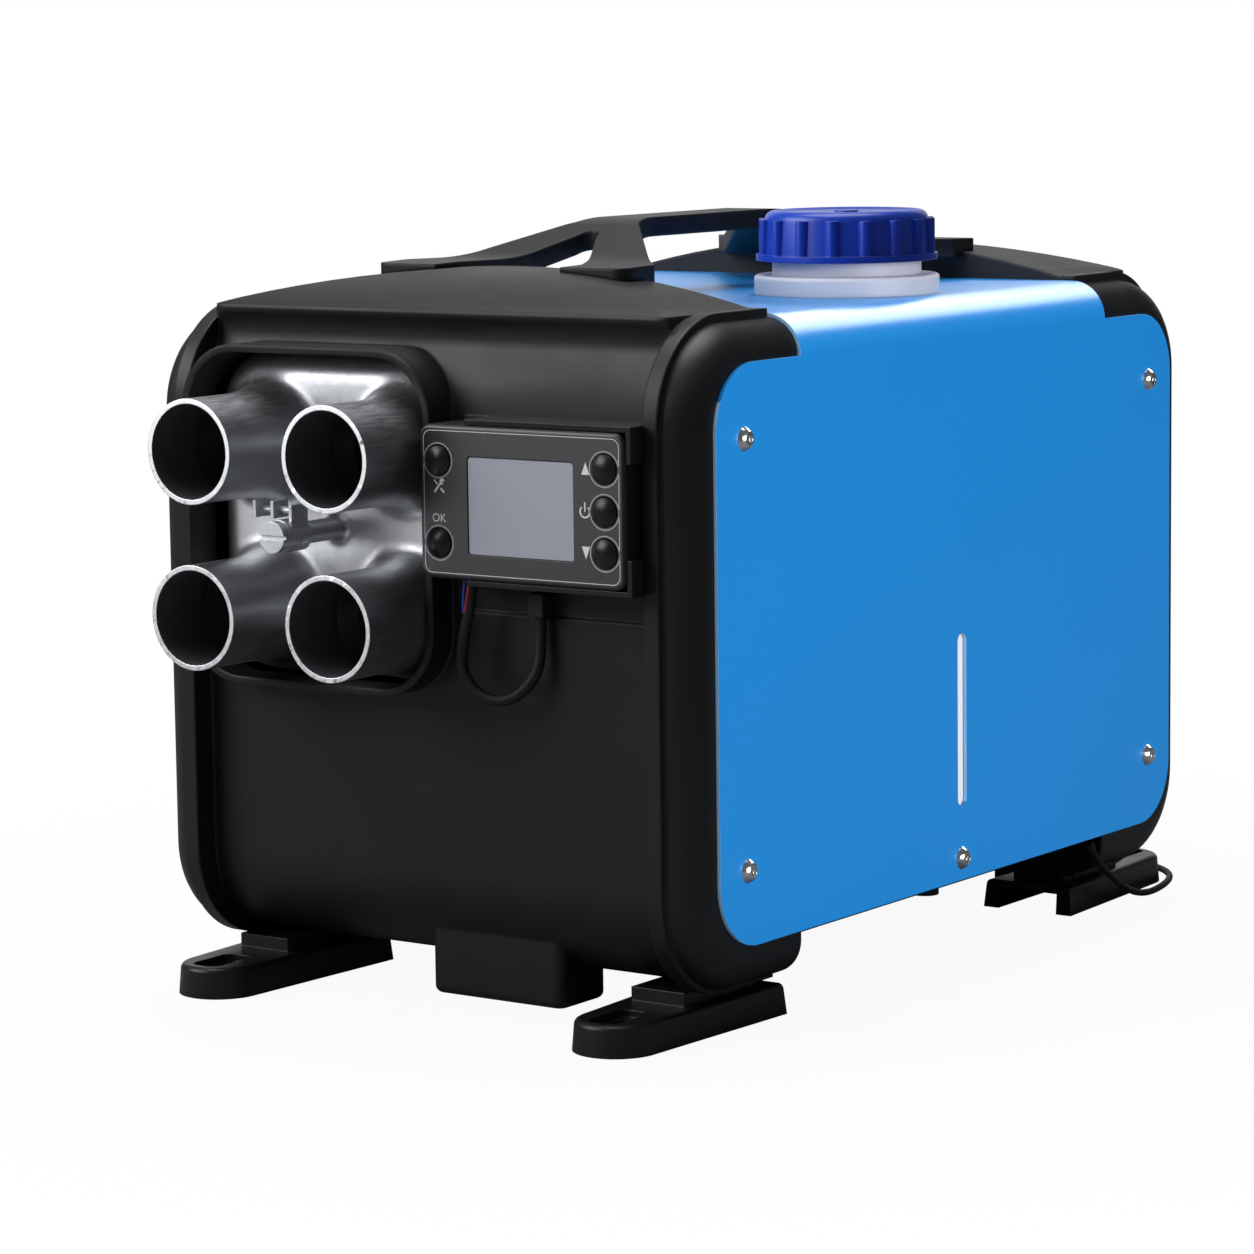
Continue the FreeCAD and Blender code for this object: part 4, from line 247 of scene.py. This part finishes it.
def flat_patches(points, normals):
    """Numbers the connected flat patches of a triangle mesh."""
    parent = list(range(len(points)))

    def root(face):
        while parent[face] != face:
            parent[face] = parent[parent[face]]
            face = parent[face]
        return face

    first = {}
    for face, (a, b, c) in enumerate(points):
        for edge in ((a, b), (b, c), (c, a)):
            other = first.setdefault((min(edge), max(edge)), face)
            if other != face and np.dot(normals[face], normals[other]) > FLAT_SHARE:
                parent[root(face)] = root(other)
    return [root(face) for face in range(len(points))]


def even_normals(mesh):
    """Shades flat faces flat and round ones smooth.

    The larger a flat patch is, the more it sets the normals at its rim.
    """
    spots = np.empty(len(mesh.vertices) * 3)
    mesh.vertices.foreach_get("co", spots)
    cells = np.round(spots.reshape(-1, 3) / SAME_SPOT)
    keys = np.unique(cells, axis=0, return_inverse=True)[1].ravel()
    corners = np.empty(len(mesh.loops), dtype=np.int32)
    mesh.loops.foreach_get("vertex_index", corners)
    points = keys[corners].reshape(-1, 3).tolist()
    normals = np.empty(len(mesh.polygons) * 3)
    mesh.polygons.foreach_get("normal", normals)
    normals = normals.reshape(-1, 3)
    areas = np.empty(len(mesh.polygons))
    mesh.polygons.foreach_get("area", areas)
    patch = flat_patches(points, normals)
    weights = np.bincount(patch, weights=areas, minlength=len(patch))
    around = {}
    for face, trio in enumerate(points):
        for point in trio:
            around.setdefault(point, {})[patch[face]] = face
    pulls = {}
    for point, held in around.items():
        faces = list(held.values())
        pulls[point] = normals[faces], weights[list(held)]
    result = []
    for face, trio in enumerate(points):
        for point in trio:
            near, weight = pulls[point]
            total = ((near @ normals[face] > SMOOTH_SHARE) * weight) @ near
            result.append(total / max(np.linalg.norm(total), 1e-12))
    mesh.shade_smooth()
    mesh.normals_split_custom_set(result)


SHOWN = ["side_shell", "base_pan", "carry_handle", "fuel_tank", "neck_collar", "filler_cap",
         "controller_bracket", "controller_case", "controller_bezel", "controller_display", "cable_connector",
         "clamp_band", "clamp_screw", "clamp_nut", "shell_bolts", "drain_plug", "power_plug"]
SHOWN += [name for name in nodes if name.startswith(("foot_", "button_"))]
for name in SHOWN:
    even_normals(nodes[name].data)


# the sheet's cut edges, painted a lighter blue as a painted highlight, in millimetres as all sizes below
PANEL_END = 179.6
PANEL_SIDE = 131.0


def faces_take(piece, material, wanted):
    """Gives the faces that a test picks another material."""
    piece.data.materials.append(material)
    index = len(piece.data.materials) - 1
    for face in piece.data.polygons:
        if wanted(face.center / MM, face.normal):
            face.material_index = index


def sheet_edge(centre, normal):
    """Picks the cut edges of the side shell, which get a lighter blue as a painted highlight."""
    rim = abs(normal.x) < 0.2 and normal.z < 0.5
    on_panel = abs(centre.y) < PANEL_END and abs(centre.x) > PANEL_SIDE
    return rim and on_panel or abs(normal.y) > 0.9


# the cut edges take the lighter blue of the painted highlight
faces_take(nodes["side_shell"], EDGE_HIGHLIGHT_BLUE, sheet_edge)


# pieces made here
def mesh_piece(name, mesh, material, body):
    piece = bpy.data.objects.new(name, mesh)
    bpy.context.scene.collection.objects.link(piece)
    piece.data.materials.append(material)
    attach(piece, body)
    return piece


# outlet manifold as a casting: straight tubes that widen a little into the box, with soft blends
OUTLETS = [(-79.8, 159.0), (-11.5, 159.0), (-79.8, 225.0), (-11.5, 225.0)]
TUBE_OUTSIDE = 21.0
TUBE_INSIDE = 19.0
TUBE_MIDDLE = (TUBE_OUTSIDE + TUBE_INSIDE) / 2
TUBE_BLEND = 5.0
MOUTH = -234.0
MOUTH_SNAP = 0.7
MOUTH_CUT = 0.4
FLARE_START = -208.0
FLARE_END = -180.0
FLARE = 5.0
BOX_FRONT = -184.0
BOX_BACK = -156.0
BOX_EDGE = 12.0
BOX_CENTRE = (-50.0, 196.5)
BOX_HALF = (59.2, 64.7)
BOX_CORNER = 23.2
STUD_CENTRE = (-45.65, 192.0)
STUD_RADIUS = 4.5
STUD_FRONT = -208.0
STUD_BLEND = 4.0
SKIN_GRID = 1.0
SKIN_CREASE = math.radians(50)
PROBE = 0.05
FACING = 0.05
LEAST_SLOPE = 0.05
LONGEST_PUSH = 3.0
SETTLE_TURNS = 12
EVEN_EVERY = 3
EVEN_SHARE = 0.5
BORE_SLACK = 0.6
WALL_REACH = 3.0


def soft_union(first, second, blend):
    """Distance to two forms joined with a fillet."""
    share = np.clip(0.5 + 0.5 * (second - first) / blend, 0.0, 1.0)
    return second + (first - second) * share - blend * share * (1.0 - share)


def rounded_corner(first, second, edge):
    """Distance to the overlap of two half spaces with a rounded edge."""
    a, b = first + edge, second + edge
    return np.minimum(np.maximum(a, b), 0.0) + np.hypot(np.maximum(a, 0.0), np.maximum(b, 0.0)) - edge


def flare(y):
    """How far the tubes widen towards the box."""
    return FLARE * np.clip((y - FLARE_START) / (FLARE_END - FLARE_START), 0.0, 1.0) ** 2


def casting_distance(spots):
    """About how far points lie outside the casting's skin."""
    x, y, z = spots.T
    beside = np.abs(x - BOX_CENTRE[0]) - BOX_HALF[0]
    above = np.abs(z - BOX_CENTRE[1]) - BOX_HALF[1]
    side = rounded_corner(beside, above, BOX_CORNER)
    skin = rounded_corner(side, BOX_FRONT - y, BOX_EDGE)
    for ox, oz in OUTLETS:
        skin = soft_union(skin, np.hypot(x - ox, z - oz) - TUBE_OUTSIDE - flare(y), TUBE_BLEND)
    skin = np.maximum(skin, side)
    stud = np.hypot(x - STUD_CENTRE[0], z - STUD_CENTRE[1]) - STUD_RADIUS
    return soft_union(skin, np.maximum(stud, STUD_FRONT - y), STUD_BLEND)


def slope_of(spots):
    """Gradient of the casting's distance."""
    columns = []
    for axis in range(3):
        step = np.zeros(3)
        step[axis] = PROBE
        columns.append((casting_distance(spots + step) - casting_distance(spots - step)) / (2 * PROBE))
    return np.stack(columns, 1)


def from_outlets(spots):
    """The nearest outlet of each point, and how far its axis lies from the point."""
    away = np.stack([np.hypot(spots[:, 0] - x, spots[:, 2] - z) for x, z in OUTLETS])
    return np.array(OUTLETS)[away.argmin(0)], away.min(0)


def settle(spots, normals, links):
    """Moves the outer skin behind the straight tubes onto the casting's form, evening it out on the way."""
    _, reach = from_outlets(spots)
    y = spots[:, 1]
    outward = np.sum(normals * slope_of(spots), 1) > FACING
    free = outward & (y > FLARE_START) & (y < BOX_BACK) & (reach > TUBE_MIDDLE)
    count = np.zeros(len(spots))
    np.add.at(count, links.ravel(), 1.0)
    for turn in range(SETTLE_TURNS):
        if turn % EVEN_EVERY == EVEN_EVERY - 1:
            total = np.zeros_like(spots)
            np.add.at(total, links[:, 0], spots[links[:, 1]])
            np.add.at(total, links[:, 1], spots[links[:, 0]])
            spots[free] += EVEN_SHARE * (total / count[:, None] - spots)[free]
        slope = slope_of(spots)
        steep = np.maximum(np.sum(slope ** 2, 1), LEAST_SLOPE)[:, None]
        push = casting_distance(spots)[:, None] * slope / steep
        length = np.linalg.norm(push, axis=1)[:, None]
        push *= np.minimum(1.0, LONGEST_PUSH / np.maximum(length, 1e-6))
        spots[free] -= push[free]
    return spots


def true_tubes(spots):
    """Sets the straight tubes back on their exact radius and length."""
    nearest, reach = from_outlets(spots)
    tube = (spots[:, 1] < FLARE_START) & (np.abs(reach - TUBE_MIDDLE) < WALL_REACH)
    wall = np.where(reach > TUBE_MIDDLE, TUBE_OUTSIDE, TUBE_INSIDE)
    for column, axis in ((0, 0), (2, 1)):
        trued = nearest[:, axis] + (spots[:, column] - nearest[:, axis]) * wall / np.maximum(reach, 1.0)
        spots[tube, column] = trued[tube]
    spots[spots[:, 1] < MOUTH + MOUTH_SNAP, 1] = MOUTH
    return spots


def in_bore(centre, _):
    """Picks the faces inside the tubes, which get a dark grey as painted shade."""
    reach = min(math.hypot(centre.x - x, centre.z - z) for x, z in OUTLETS)
    return MOUTH + MOUTH_CUT < centre.y < FLARE_END and reach < TUBE_INSIDE + BORE_SLACK + flare(centre.y)


def cast_manifold():
    source = nodes["outlet_manifold"]
    rough = bpy.data.objects.new("manifold_rough", source.data.copy())
    bpy.context.scene.collection.objects.link(rough)
    rough.modifiers.new("weld", "WELD").merge_threshold = WELD
    skin = rough.modifiers.new("skin", "REMESH")
    skin.mode = "VOXEL"
    skin.voxel_size = SKIN_GRID * MM
    bpy.context.view_layer.update()
    mesh = bpy.data.meshes.new_from_object(rough.evaluated_get(bpy.context.evaluated_depsgraph_get()))
    bpy.data.objects.remove(rough)
    count = len(mesh.vertices)
    spots, normals = np.empty(count * 3), np.empty(count * 3)
    mesh.vertices.foreach_get("co", spots)
    mesh.vertices.foreach_get("normal", normals)
    links = np.empty(len(mesh.edges) * 2, dtype=np.int32)
    mesh.edges.foreach_get("vertices", links)
    spots = true_tubes(settle(spots.reshape(-1, 3) / MM, normals.reshape(-1, 3), links.reshape(-1, 2)))
    mesh.vertices.foreach_set("co", (spots * MM).ravel())
    mesh.update()
    mesh.name = "manifold_cast"
    mesh.materials.clear()
    mesh.shade_smooth()
    piece = mesh_piece("manifold_cast", mesh, CAST, "housing")
    mesh.set_sharp_from_angle(angle=SKIN_CREASE)
    faces_take(piece, CUT, lambda centre, _: centre.y < MOUTH + MOUTH_CUT)
    # the tube insides take the dark grey of the painted shade
    faces_take(piece, BORE_PAINTED_SHADE, in_bore)
    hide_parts("outlet_manifold")


cast_manifold()


# covers: the hood's front crease is rounded here, and eased at both its ends
CREASE = (180.5, 278.5)
CREASE_NEAR = 7.0
CREASE_CUTS = (0.3, 0.7, 1.2, 1.8, 2.5, 3.3, 4.2)
CREASE_REACH = 4.0
CREASE_DEPTH = 1.6
CREASE_DIP = 0.07
HOOD_HALF = 112.0
HOOD_SLACK = 0.05
END_CUTS = (0.8, 1.8, 3.0, 4.5, 6.5)
END_REACH = 8.0
END_DEPTH = 2.5
END_FADE = 10.0
CUT_SNAP = 0.0005 * MM


def soft_hood(name, side):
    """A cover with a rounded lip to its hood; side is the sign of y at its front."""
    bm = bmesh.new()
    bm.from_mesh(nodes[name].data)
    bmesh.ops.remove_doubles(bm, verts=bm.verts, dist=WELD)

    def away(point):
        return math.hypot(point.co.y / MM - side * CREASE[0], point.co.z / MM - CREASE[1])

    def on_hood(face):
        return abs(face.calc_center_median().x) < (HOOD_HALF + HOOD_SLACK) * MM

    def cut(place, across):
        faces = [f for f in bm.faces if on_hood(f) and any(away(v) < CREASE_NEAR for v in f.verts)]
        held = dict.fromkeys(item for f in faces for item in (f, *f.edges, *f.verts))
        bmesh.ops.bisect_plane(bm, geom=list(held), dist=CUT_SNAP, plane_co=place, plane_no=across)

    for step in CREASE_CUTS:
        cut((0.0, side * (CREASE[0] - step) * MM, 0.0), (0.0, 1.0, 0.0))
    for step in END_CUTS:
        for end in (-1, 1):
            cut((end * (HOOD_HALF - step) * MM, 0.0, 0.0), (1.0, 0.0, 0.0))
    for point in bm.verts:
        gap = away(point)
        if gap > END_FADE or not all(on_hood(f) for f in point.link_faces):
            continue
        share = min(1.0, max(0.0, 1.0 - (HOOD_HALF - abs(point.co.x) / MM) / END_REACH))
        push = CREASE_DEPTH * max(0.0, 1.0 - gap / CREASE_REACH) ** 2
        push += END_DEPTH * (1.0 - math.sqrt(1.0 - share * share)) * (1.0 - gap / END_FADE) ** 2
        point.co.y -= side * push * MM
        point.co.z -= CREASE_DIP * push * MM
    bmesh.ops.triangulate(bm, faces=bm.faces)
    mesh = bpy.data.meshes.new(name + "_soft")
    bm.to_mesh(mesh)
    bm.free()
    even_normals(mesh)
    piece = mesh_piece(name + "_soft", mesh, BLACK, "housing")
    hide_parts(name)


soft_hood("front_cover", -1)
soft_hood("rear_cover", 1)


# prints on the controller's face: outlines in x and z
FACE = -207.0
PRINT_DEPTH = 0.08


def finished(name, bm):
    """Turns a closed bmesh into a mesh with its normals outward."""
    bmesh.ops.recalc_face_normals(bm, faces=bm.faces)
    mesh = bpy.data.meshes.new(name)
    bm.to_mesh(mesh)
    bm.free()
    return mesh


def printed_shape(name, points):
    """A thin plate on the controller's face."""
    bm = bmesh.new()
    front = [bm.verts.new((x * MM, (FACE - PRINT_DEPTH) * MM, z * MM)) for x, z in points]
    back = [bm.verts.new((x * MM, FACE * MM, z * MM)) for x, z in points]
    bm.faces.new(front)
    bm.faces.new(list(reversed(back)))
    for i in range(len(points)):
        j = (i + 1) % len(points)
        bm.faces.new((front[j], front[i], back[i], back[j]))
    mesh_piece(name, finished(name, bm), PRINT, "housing")


def printed_ring(name, outer, inner, material):
    """A thin closed band on the controller's face, between two outlines of equal point counts."""
    bm = bmesh.new()
    top = FACE - PRINT_DEPTH
    rows = [[bm.verts.new((x * MM, depth * MM, z * MM)) for x, z in line]
            for line, depth in ((outer, FACE), (outer, top), (inner, top), (inner, FACE))]
    count = len(outer)
    for low, high in ((0, 1), (1, 2), (2, 3), (3, 0)):
        for i in range(count):
            j = (i + 1) % count
            bm.faces.new((rows[low][i], rows[low][j], rows[high][j], rows[high][i]))
    mesh_piece(name, finished(name, bm), material, "housing")


def round_rect(x_low, x_high, z_low, z_high, corner, steps=8):
    points = []
    for cx, cz, start in ((x_high - corner, z_low + corner, -90), (x_high - corner, z_high - corner, 0),
                          (x_low + corner, z_high - corner, 90), (x_low + corner, z_low + corner, 180)):
        for k in range(steps + 1):
            a = math.radians(start + 90 * k / steps)
            points.append((cx + corner * math.cos(a), cz + corner * math.sin(a)))
    return points


def circle(x, z, radius, count=48):
    return [(x + radius * math.cos(2 * math.pi * k / count), z + radius * math.sin(2 * math.pi * k / count))
            for k in range(count)]


def arc_points(x, z, radius, start, end, count=24):
    return [(x + radius * math.cos(math.radians(start + (end - start) * k / count)),
             z + radius * math.sin(math.radians(start + (end - start) * k / count))) for k in range(count + 1)]


printed_ring("bezel_line", round_rect(16.2, 108.6, 180.3, 235.7, 3.4),
             round_rect(16.45, 108.35, 180.55, 235.45, 3.15), PRINT)
KEYS = {"set": (23.2, 224.0), "ok": (23.2, 192.0), "up": (101.7, 224.0), "power": (101.7, 207.8),
        "down": (101.7, 192.0)}
RING_OUTSIDE = 7.0
RING_INSIDE = 6.5
for key, (kx, kz) in KEYS.items():
    printed_ring(f"key_ring_{key}", circle(kx, kz, RING_OUTSIDE), circle(kx, kz, RING_INSIDE), KEY_RING)
MARKS = {
    "mark_up": [(91.2, 221.6), (95.0, 221.6), (93.1, 226.4)],
    "mark_down": [(91.0, 194.4), (94.8, 194.4), (92.9, 189.6)],
    "mark_power_ring": arc_points(92.6, 207.6, 2.5, 130, 410) + arc_points(92.6, 207.6, 1.9, 410, 130),
    "mark_power_bar": [(92.3, 207.6), (92.9, 207.6), (92.9, 211.2), (92.3, 211.2)],
    "mark_wrench": [(20.9, 211.9), (21.5, 211.3), (24.3, 214.6), (25.8, 214.8), (25.0, 215.4), (25.6, 216.2),
                    (26.2, 215.6), (26.0, 216.8), (24.9, 217.2), (23.9, 216.4), (23.8, 215.1)],
    "mark_driver": [(25.7, 211.3), (26.3, 211.9), (24.6, 213.6), (24.0, 213.0)],
    "mark_blade": [(21.0, 216.2), (21.4, 216.6), (23.2, 214.8), (22.8, 214.4)],
}
for name, points in MARKS.items():
    printed_shape(name, points)

LETTER_SIZE = 4.6
LETTER_DEPTH = 0.04
LETTER_PLACE = (23.4, 200.2)
letters = bpy.data.curves.new("mark_ok", "FONT")
letters.body = "OK"
letters.size = LETTER_SIZE * MM
letters.align_x = "CENTER"
letters.extrude = LETTER_DEPTH * MM
letters.materials.append(PRINT)
letters_piece = bpy.data.objects.new("mark_ok", letters)
bpy.context.scene.collection.objects.link(letters_piece)
letters_piece.rotation_euler = (math.radians(90), 0, 0)
letters_piece.location = (LETTER_PLACE[0] * MM, (FACE - LETTER_DEPTH) * MM, LETTER_PLACE[1] * MM)
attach(letters_piece, "housing")


# the tank's raised sight rib behind the level slot
RIB_LOW = 71.0
RIB_HIGH = 136.3
RIB_RADIUS = 5.5
RIB_STEPS = 16
RIB_SIDES = (129.0, 132.2)


def sight_rib():
    outline = arc_points(0, RIB_HIGH, RIB_RADIUS, 0, 180, RIB_STEPS)
    outline += arc_points(0, RIB_LOW, RIB_RADIUS, 180, 360, RIB_STEPS)
    bm = bmesh.new()
    inner, outer = ([bm.verts.new((x * MM, y * MM, z * MM)) for y, z in outline] for x in RIB_SIDES)
    bm.faces.new(outer)
    bm.faces.new(list(reversed(inner)))
    for k in range(len(outline)):
        bm.faces.new((inner[k - 1], inner[k], outer[k], outer[k - 1]))
    mesh_piece("sight_rib", finished("sight_rib", bm), MILKY, "housing")


sight_rib()


# cords
def cord_curve(name, points, radius, material):
    """A round cord along given points."""
    curve = bpy.data.curves.new(name, "CURVE")
    curve.dimensions = "3D"
    curve.bevel_depth = radius * MM
    curve.bevel_resolution = 5
    curve.use_fill_caps = True
    curve.resolution_u = 8
    spline = curve.splines.new("NURBS")
    spline.points.add(len(points) - 1)
    for spot, (x, y, z) in zip(spline.points, points):
        spot.co = (x * MM, y * MM, z * MM, 1.0)
    spline.order_u = 3
    spline.use_endpoint_u = True
    piece = bpy.data.objects.new(name, curve)
    bpy.context.scene.collection.objects.link(piece)
    curve.materials.append(material)
    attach(piece, "housing")
    return piece


CABLE_RADIUS = 2.25
CABLE = [(32.3, -199.0, 178.1), (32.3, -199.0, 169.0), (27.8, -198.9, 154.5), (26.0, -198.5, 140.2),
         (35.7, -197.6, 130.5), (49.0, -196.0, 130.5), (58.9, -192.6, 140.9), (58.8, -190.0, 153.0),
         (58.8, -190.0, 163.6)]
cable = cord_curve("controller_cord", CABLE, CABLE_RADIUS, RUBBER)
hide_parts("controller_cable")

LEAD_RADIUS = 1.5
LEAD = [(131.0, 114.08, 31.02), (131.0, 119.0, 26.1), (131.1, 127.0, 19.2), (130.7, 137.5, 13.0),
        (129.9, 148.6, 7.5), (129.0, 160.6, 3.4), (128.0, 174.0, 1.6), (126.0, 188.2, 1.6),
        (122.0, 203.0, 1.6), (115.0, 217.0, 1.6), (103.5, 228.0, 1.6), (88.5, 233.4, 1.6),
        (72.5, 233.0, 1.8), (58.0, 230.6, 2.4), (44.0, 230.0, 2.7), (28.0, 230.0, 2.7)]
COIL_TURNS = 4
COIL_RISE = 0.5
COIL_ALL = 2 * COIL_TURNS + COIL_RISE
COIL_STEPS = int(COIL_ALL * 24)
COIL_CENTRE = (25.0, 205.0)
COIL_RADIUS = 25.0
COIL_PITCH = 3.85
COIL_LAYER = 3.9
COIL_LOW = 2.7
TAIL_RUNS = (11.0, 23.0)


def coil_point(turn):
    """Inward on the lower layer, up a layer in half a turn, outward on the upper layer."""
    inner = COIL_RADIUS - COIL_PITCH * COIL_TURNS
    past = turn - COIL_TURNS
    if past < 0:
        radius, height = COIL_RADIUS - COIL_PITCH * turn, COIL_LOW
    elif past < COIL_RISE:
        radius, height = inner, COIL_LOW + COIL_LAYER * past / COIL_RISE
    else:
        radius, height = inner + COIL_PITCH * (past - COIL_RISE), COIL_LOW + COIL_LAYER
    angle = math.pi / 2 + 2 * math.pi * turn
    return COIL_CENTRE[0] + radius * math.cos(angle), COIL_CENTRE[1] + radius * math.sin(angle), height


COIL = [coil_point(COIL_ALL * k / COIL_STEPS) for k in range(COIL_STEPS + 1)]
TAIL = [(COIL[-1][0] + run, COIL[-1][1], COIL[-1][2]) for run in TAIL_RUNS]
lead = cord_curve("power_cord", LEAD + COIL + TAIL, LEAD_RADIUS, RUBBER)
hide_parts("power_lead", "power_coil")

WIRE_RADIUS = 0.55
for wire, shift, shade in (("wire_red", 1.3, WIRE_RED), ("wire_blue", -0.9, WIRE_BLUE)):
    run = [(31.2 + shift, -200.4, 178.0), (31.0 + shift, -201.2, 173.0), (30.4 + shift * 0.6, -201.2, 168.5),
           (29.6 + shift * 0.4, -200.6, 164.5)]
    cord_curve(wire, run, WIRE_RADIUS, shade)


# light and floor, in metres and watts
world = bpy.data.worlds.new("studio")
bpy.context.scene.world = world
world.use_nodes = True
tree = world.node_tree
background = next(n for n in tree.nodes if n.type == "BACKGROUND")
output = next(n for n in tree.nodes if n.type == "OUTPUT_WORLD")
background.inputs["Color"].default_value = (0.55, 0.57, 0.6, 1.0)
background.inputs["Strength"].default_value = 0.2
white = tree.nodes.new("ShaderNodeBackground")
white.inputs["Color"].default_value = (1.0, 1.0, 1.0, 1.0)
white.inputs["Strength"].default_value = 1.0
path = tree.nodes.new("ShaderNodeLightPath")
mix = tree.nodes.new("ShaderNodeMixShader")
tree.links.new(path.outputs["Is Camera Ray"], mix.inputs[0])
tree.links.new(background.outputs[0], mix.inputs[1])
tree.links.new(white.outputs[0], mix.inputs[2])
tree.links.new(mix.outputs[0], output.inputs["Surface"])


def area_light(name, place, aim, width, height, power):
    data = bpy.data.lights.new(name, "AREA")
    data.shape = "RECTANGLE"
    data.size = width
    data.size_y = height
    data.energy = power
    lamp = bpy.data.objects.new(name, data)
    bpy.context.scene.collection.objects.link(lamp)
    lamp.location = place
    lamp.rotation_euler = (Vector(aim) - Vector(place)).to_track_quat("-Z", "Y").to_euler()
    return lamp


def only_on(lamp, names):
    """Lets a light reach the named pieces alone."""
    group = bpy.data.collections.new(lamp.name + " group")
    for name in names:
        group.objects.link(nodes[name] if name in nodes else bpy.data.objects[name])
    lamp.light_linking.receiver_collection = group


FRONT_PRINTS = [o.name for o in bpy.data.objects if o.name.startswith(("mark_", "bezel_line", "key_ring_"))]
SHELL = ["side_shell", "shell_bolts", "sight_rib"]
NECK = ["neck_collar", "fuel_tank"]
METAL = ["manifold_cast", "clamp_band", "clamp_screw", "clamp_nut", "controller_bezel", "controller_display",
         "filler_cap"] + FRONT_PRINTS
only_on(area_light("shell", (2.2, -0.5, 0.35), (0.1, 0.0, 0.12), 1.8, 1.4, 66), SHELL)
only_on(area_light("neck", (2.2, -0.5, 0.35), (0.1, 0.0, 0.28), 1.8, 1.4, 34), NECK)
only_on(area_light("bend", (-0.1, 1.8, 1.5), (0.12, 0.0, 0.27), 1.8, 0.6, 36), SHELL)
only_on(area_light("card", (-1.4, -1.7, 0.75), (-0.05, -0.2, 0.19), 2.0, 1.5, 23), METAL)
area_light("top", (-0.2, 0.1, 1.9), (0.0, 0.0, 0.25), 1.4, 1.2, 24)
area_light("softbox", (-1.3, -1.5, 1.3), (0.0, -0.15, 0.2), 1.6, 1.2, 24)
area_light("backdrop", (-1.5, 2.2, 0.9), (0.0, 0.0, 0.25), 3.0, 1.5, 9)

# the floor looks near white, with a faint contact shadow, but gives back little light
FLOOR_HALF = 6
FLOOR_DROP = 0.2 * MM
SHADE_NEAR = 0.25
SHADE_FAR = 0.55
floor_mesh = bpy.data.meshes.new("floor")
corners = [(-FLOOR_HALF, -FLOOR_HALF, 0), (FLOOR_HALF, -FLOOR_HALF, 0), (FLOOR_HALF, FLOOR_HALF, 0),
           (-FLOOR_HALF, FLOOR_HALF, 0)]
floor_mesh.from_pydata(corners, [], [(0, 1, 2, 3)])
floor = bpy.data.objects.new("floor", floor_mesh)
bpy.context.scene.collection.objects.link(floor)
floor.location.z = -FLOOR_DROP
material, tree, shader = new_material("floor")
shader.inputs["Base Color"].default_value = (0.28, 0.28, 0.28, 1.0)
shader.inputs["Roughness"].default_value = 0.9
shader.inputs["Specular IOR Level"].default_value = 0.0
glow = tree.nodes.new("ShaderNodeEmission")
pale = tree.nodes.new("ShaderNodeBsdfDiffuse")
pale.inputs["Color"].default_value = (0.9, 0.9, 0.9, 1.0)
place = tree.nodes.new("ShaderNodeTexCoord")
way = tree.nodes.new("ShaderNodeVectorMath")
way.operation = "LENGTH"
tree.links.new(place.outputs["Object"], way.inputs[0])
fade = tree.nodes.new("ShaderNodeMapRange")
fade.interpolation_type = "SMOOTHSTEP"
fade.inputs["From Min"].default_value = SHADE_NEAR
fade.inputs["From Max"].default_value = SHADE_FAR
fade.inputs["To Min"].default_value = 0.94
fade.inputs["To Max"].default_value = 1.0
tree.links.new(way.outputs["Value"], fade.inputs["Value"])
seen = tree.nodes.new("ShaderNodeMixShader")
tree.links.new(fade.outputs["Result"], seen.inputs[0])
tree.links.new(pale.outputs[0], seen.inputs[1])
tree.links.new(glow.outputs[0], seen.inputs[2])
path = tree.nodes.new("ShaderNodeLightPath")
mix = tree.nodes.new("ShaderNodeMixShader")
tree.links.new(path.outputs["Is Camera Ray"], mix.inputs[0])
tree.links.new(shader.outputs[0], mix.inputs[1])
tree.links.new(seen.outputs[0], mix.inputs[2])
output = next(n for n in tree.nodes if n.type == "OUTPUT_MATERIAL")
tree.links.new(mix.outputs[0], output.inputs["Surface"])
floor.data.materials.append(material)

# camera, as fitted to the photograph
AZIMUTH, ELEVATION, ROLL = (math.radians(a) for a in (35.18, 7.65, -0.74))
DISTANCE = 1.887
SHIFT_RIGHT = 0.0282
SHIFT_UP = 0.0066
AIM_HEIGHT = 0.14
SENSOR = 36.0
FOCAL_SHARE = 4399 / 1254
back = Vector((math.sin(AZIMUTH) * math.cos(ELEVATION), -math.cos(AZIMUTH) * math.cos(ELEVATION),
               math.sin(ELEVATION)))
level = Vector((math.cos(AZIMUTH), math.sin(AZIMUTH), 0.0))
upright = back.cross(level)
right = level * math.cos(ROLL) + upright * math.sin(ROLL)
up = upright * math.cos(ROLL) - level * math.sin(ROLL)
spot = back * DISTANCE - right * SHIFT_RIGHT - up * SHIFT_UP + Vector((0, 0, AIM_HEIGHT))
lens = bpy.data.cameras.new("camera")
lens.sensor_width = SENSOR
lens.lens = SENSOR * FOCAL_SHARE
lens.clip_end = 50.0
camera = bpy.data.objects.new("camera", lens)
bpy.context.scene.collection.objects.link(camera)
camera.matrix_world = Matrix((
    (right.x, up.x, back.x, spot.x),
    (right.y, up.y, back.y, spot.y),
    (right.z, up.z, back.z, spot.z),
    (0, 0, 0, 1),
))
bpy.context.scene.camera = camera
bpy.context.scene.view_settings.view_transform = "Standard"
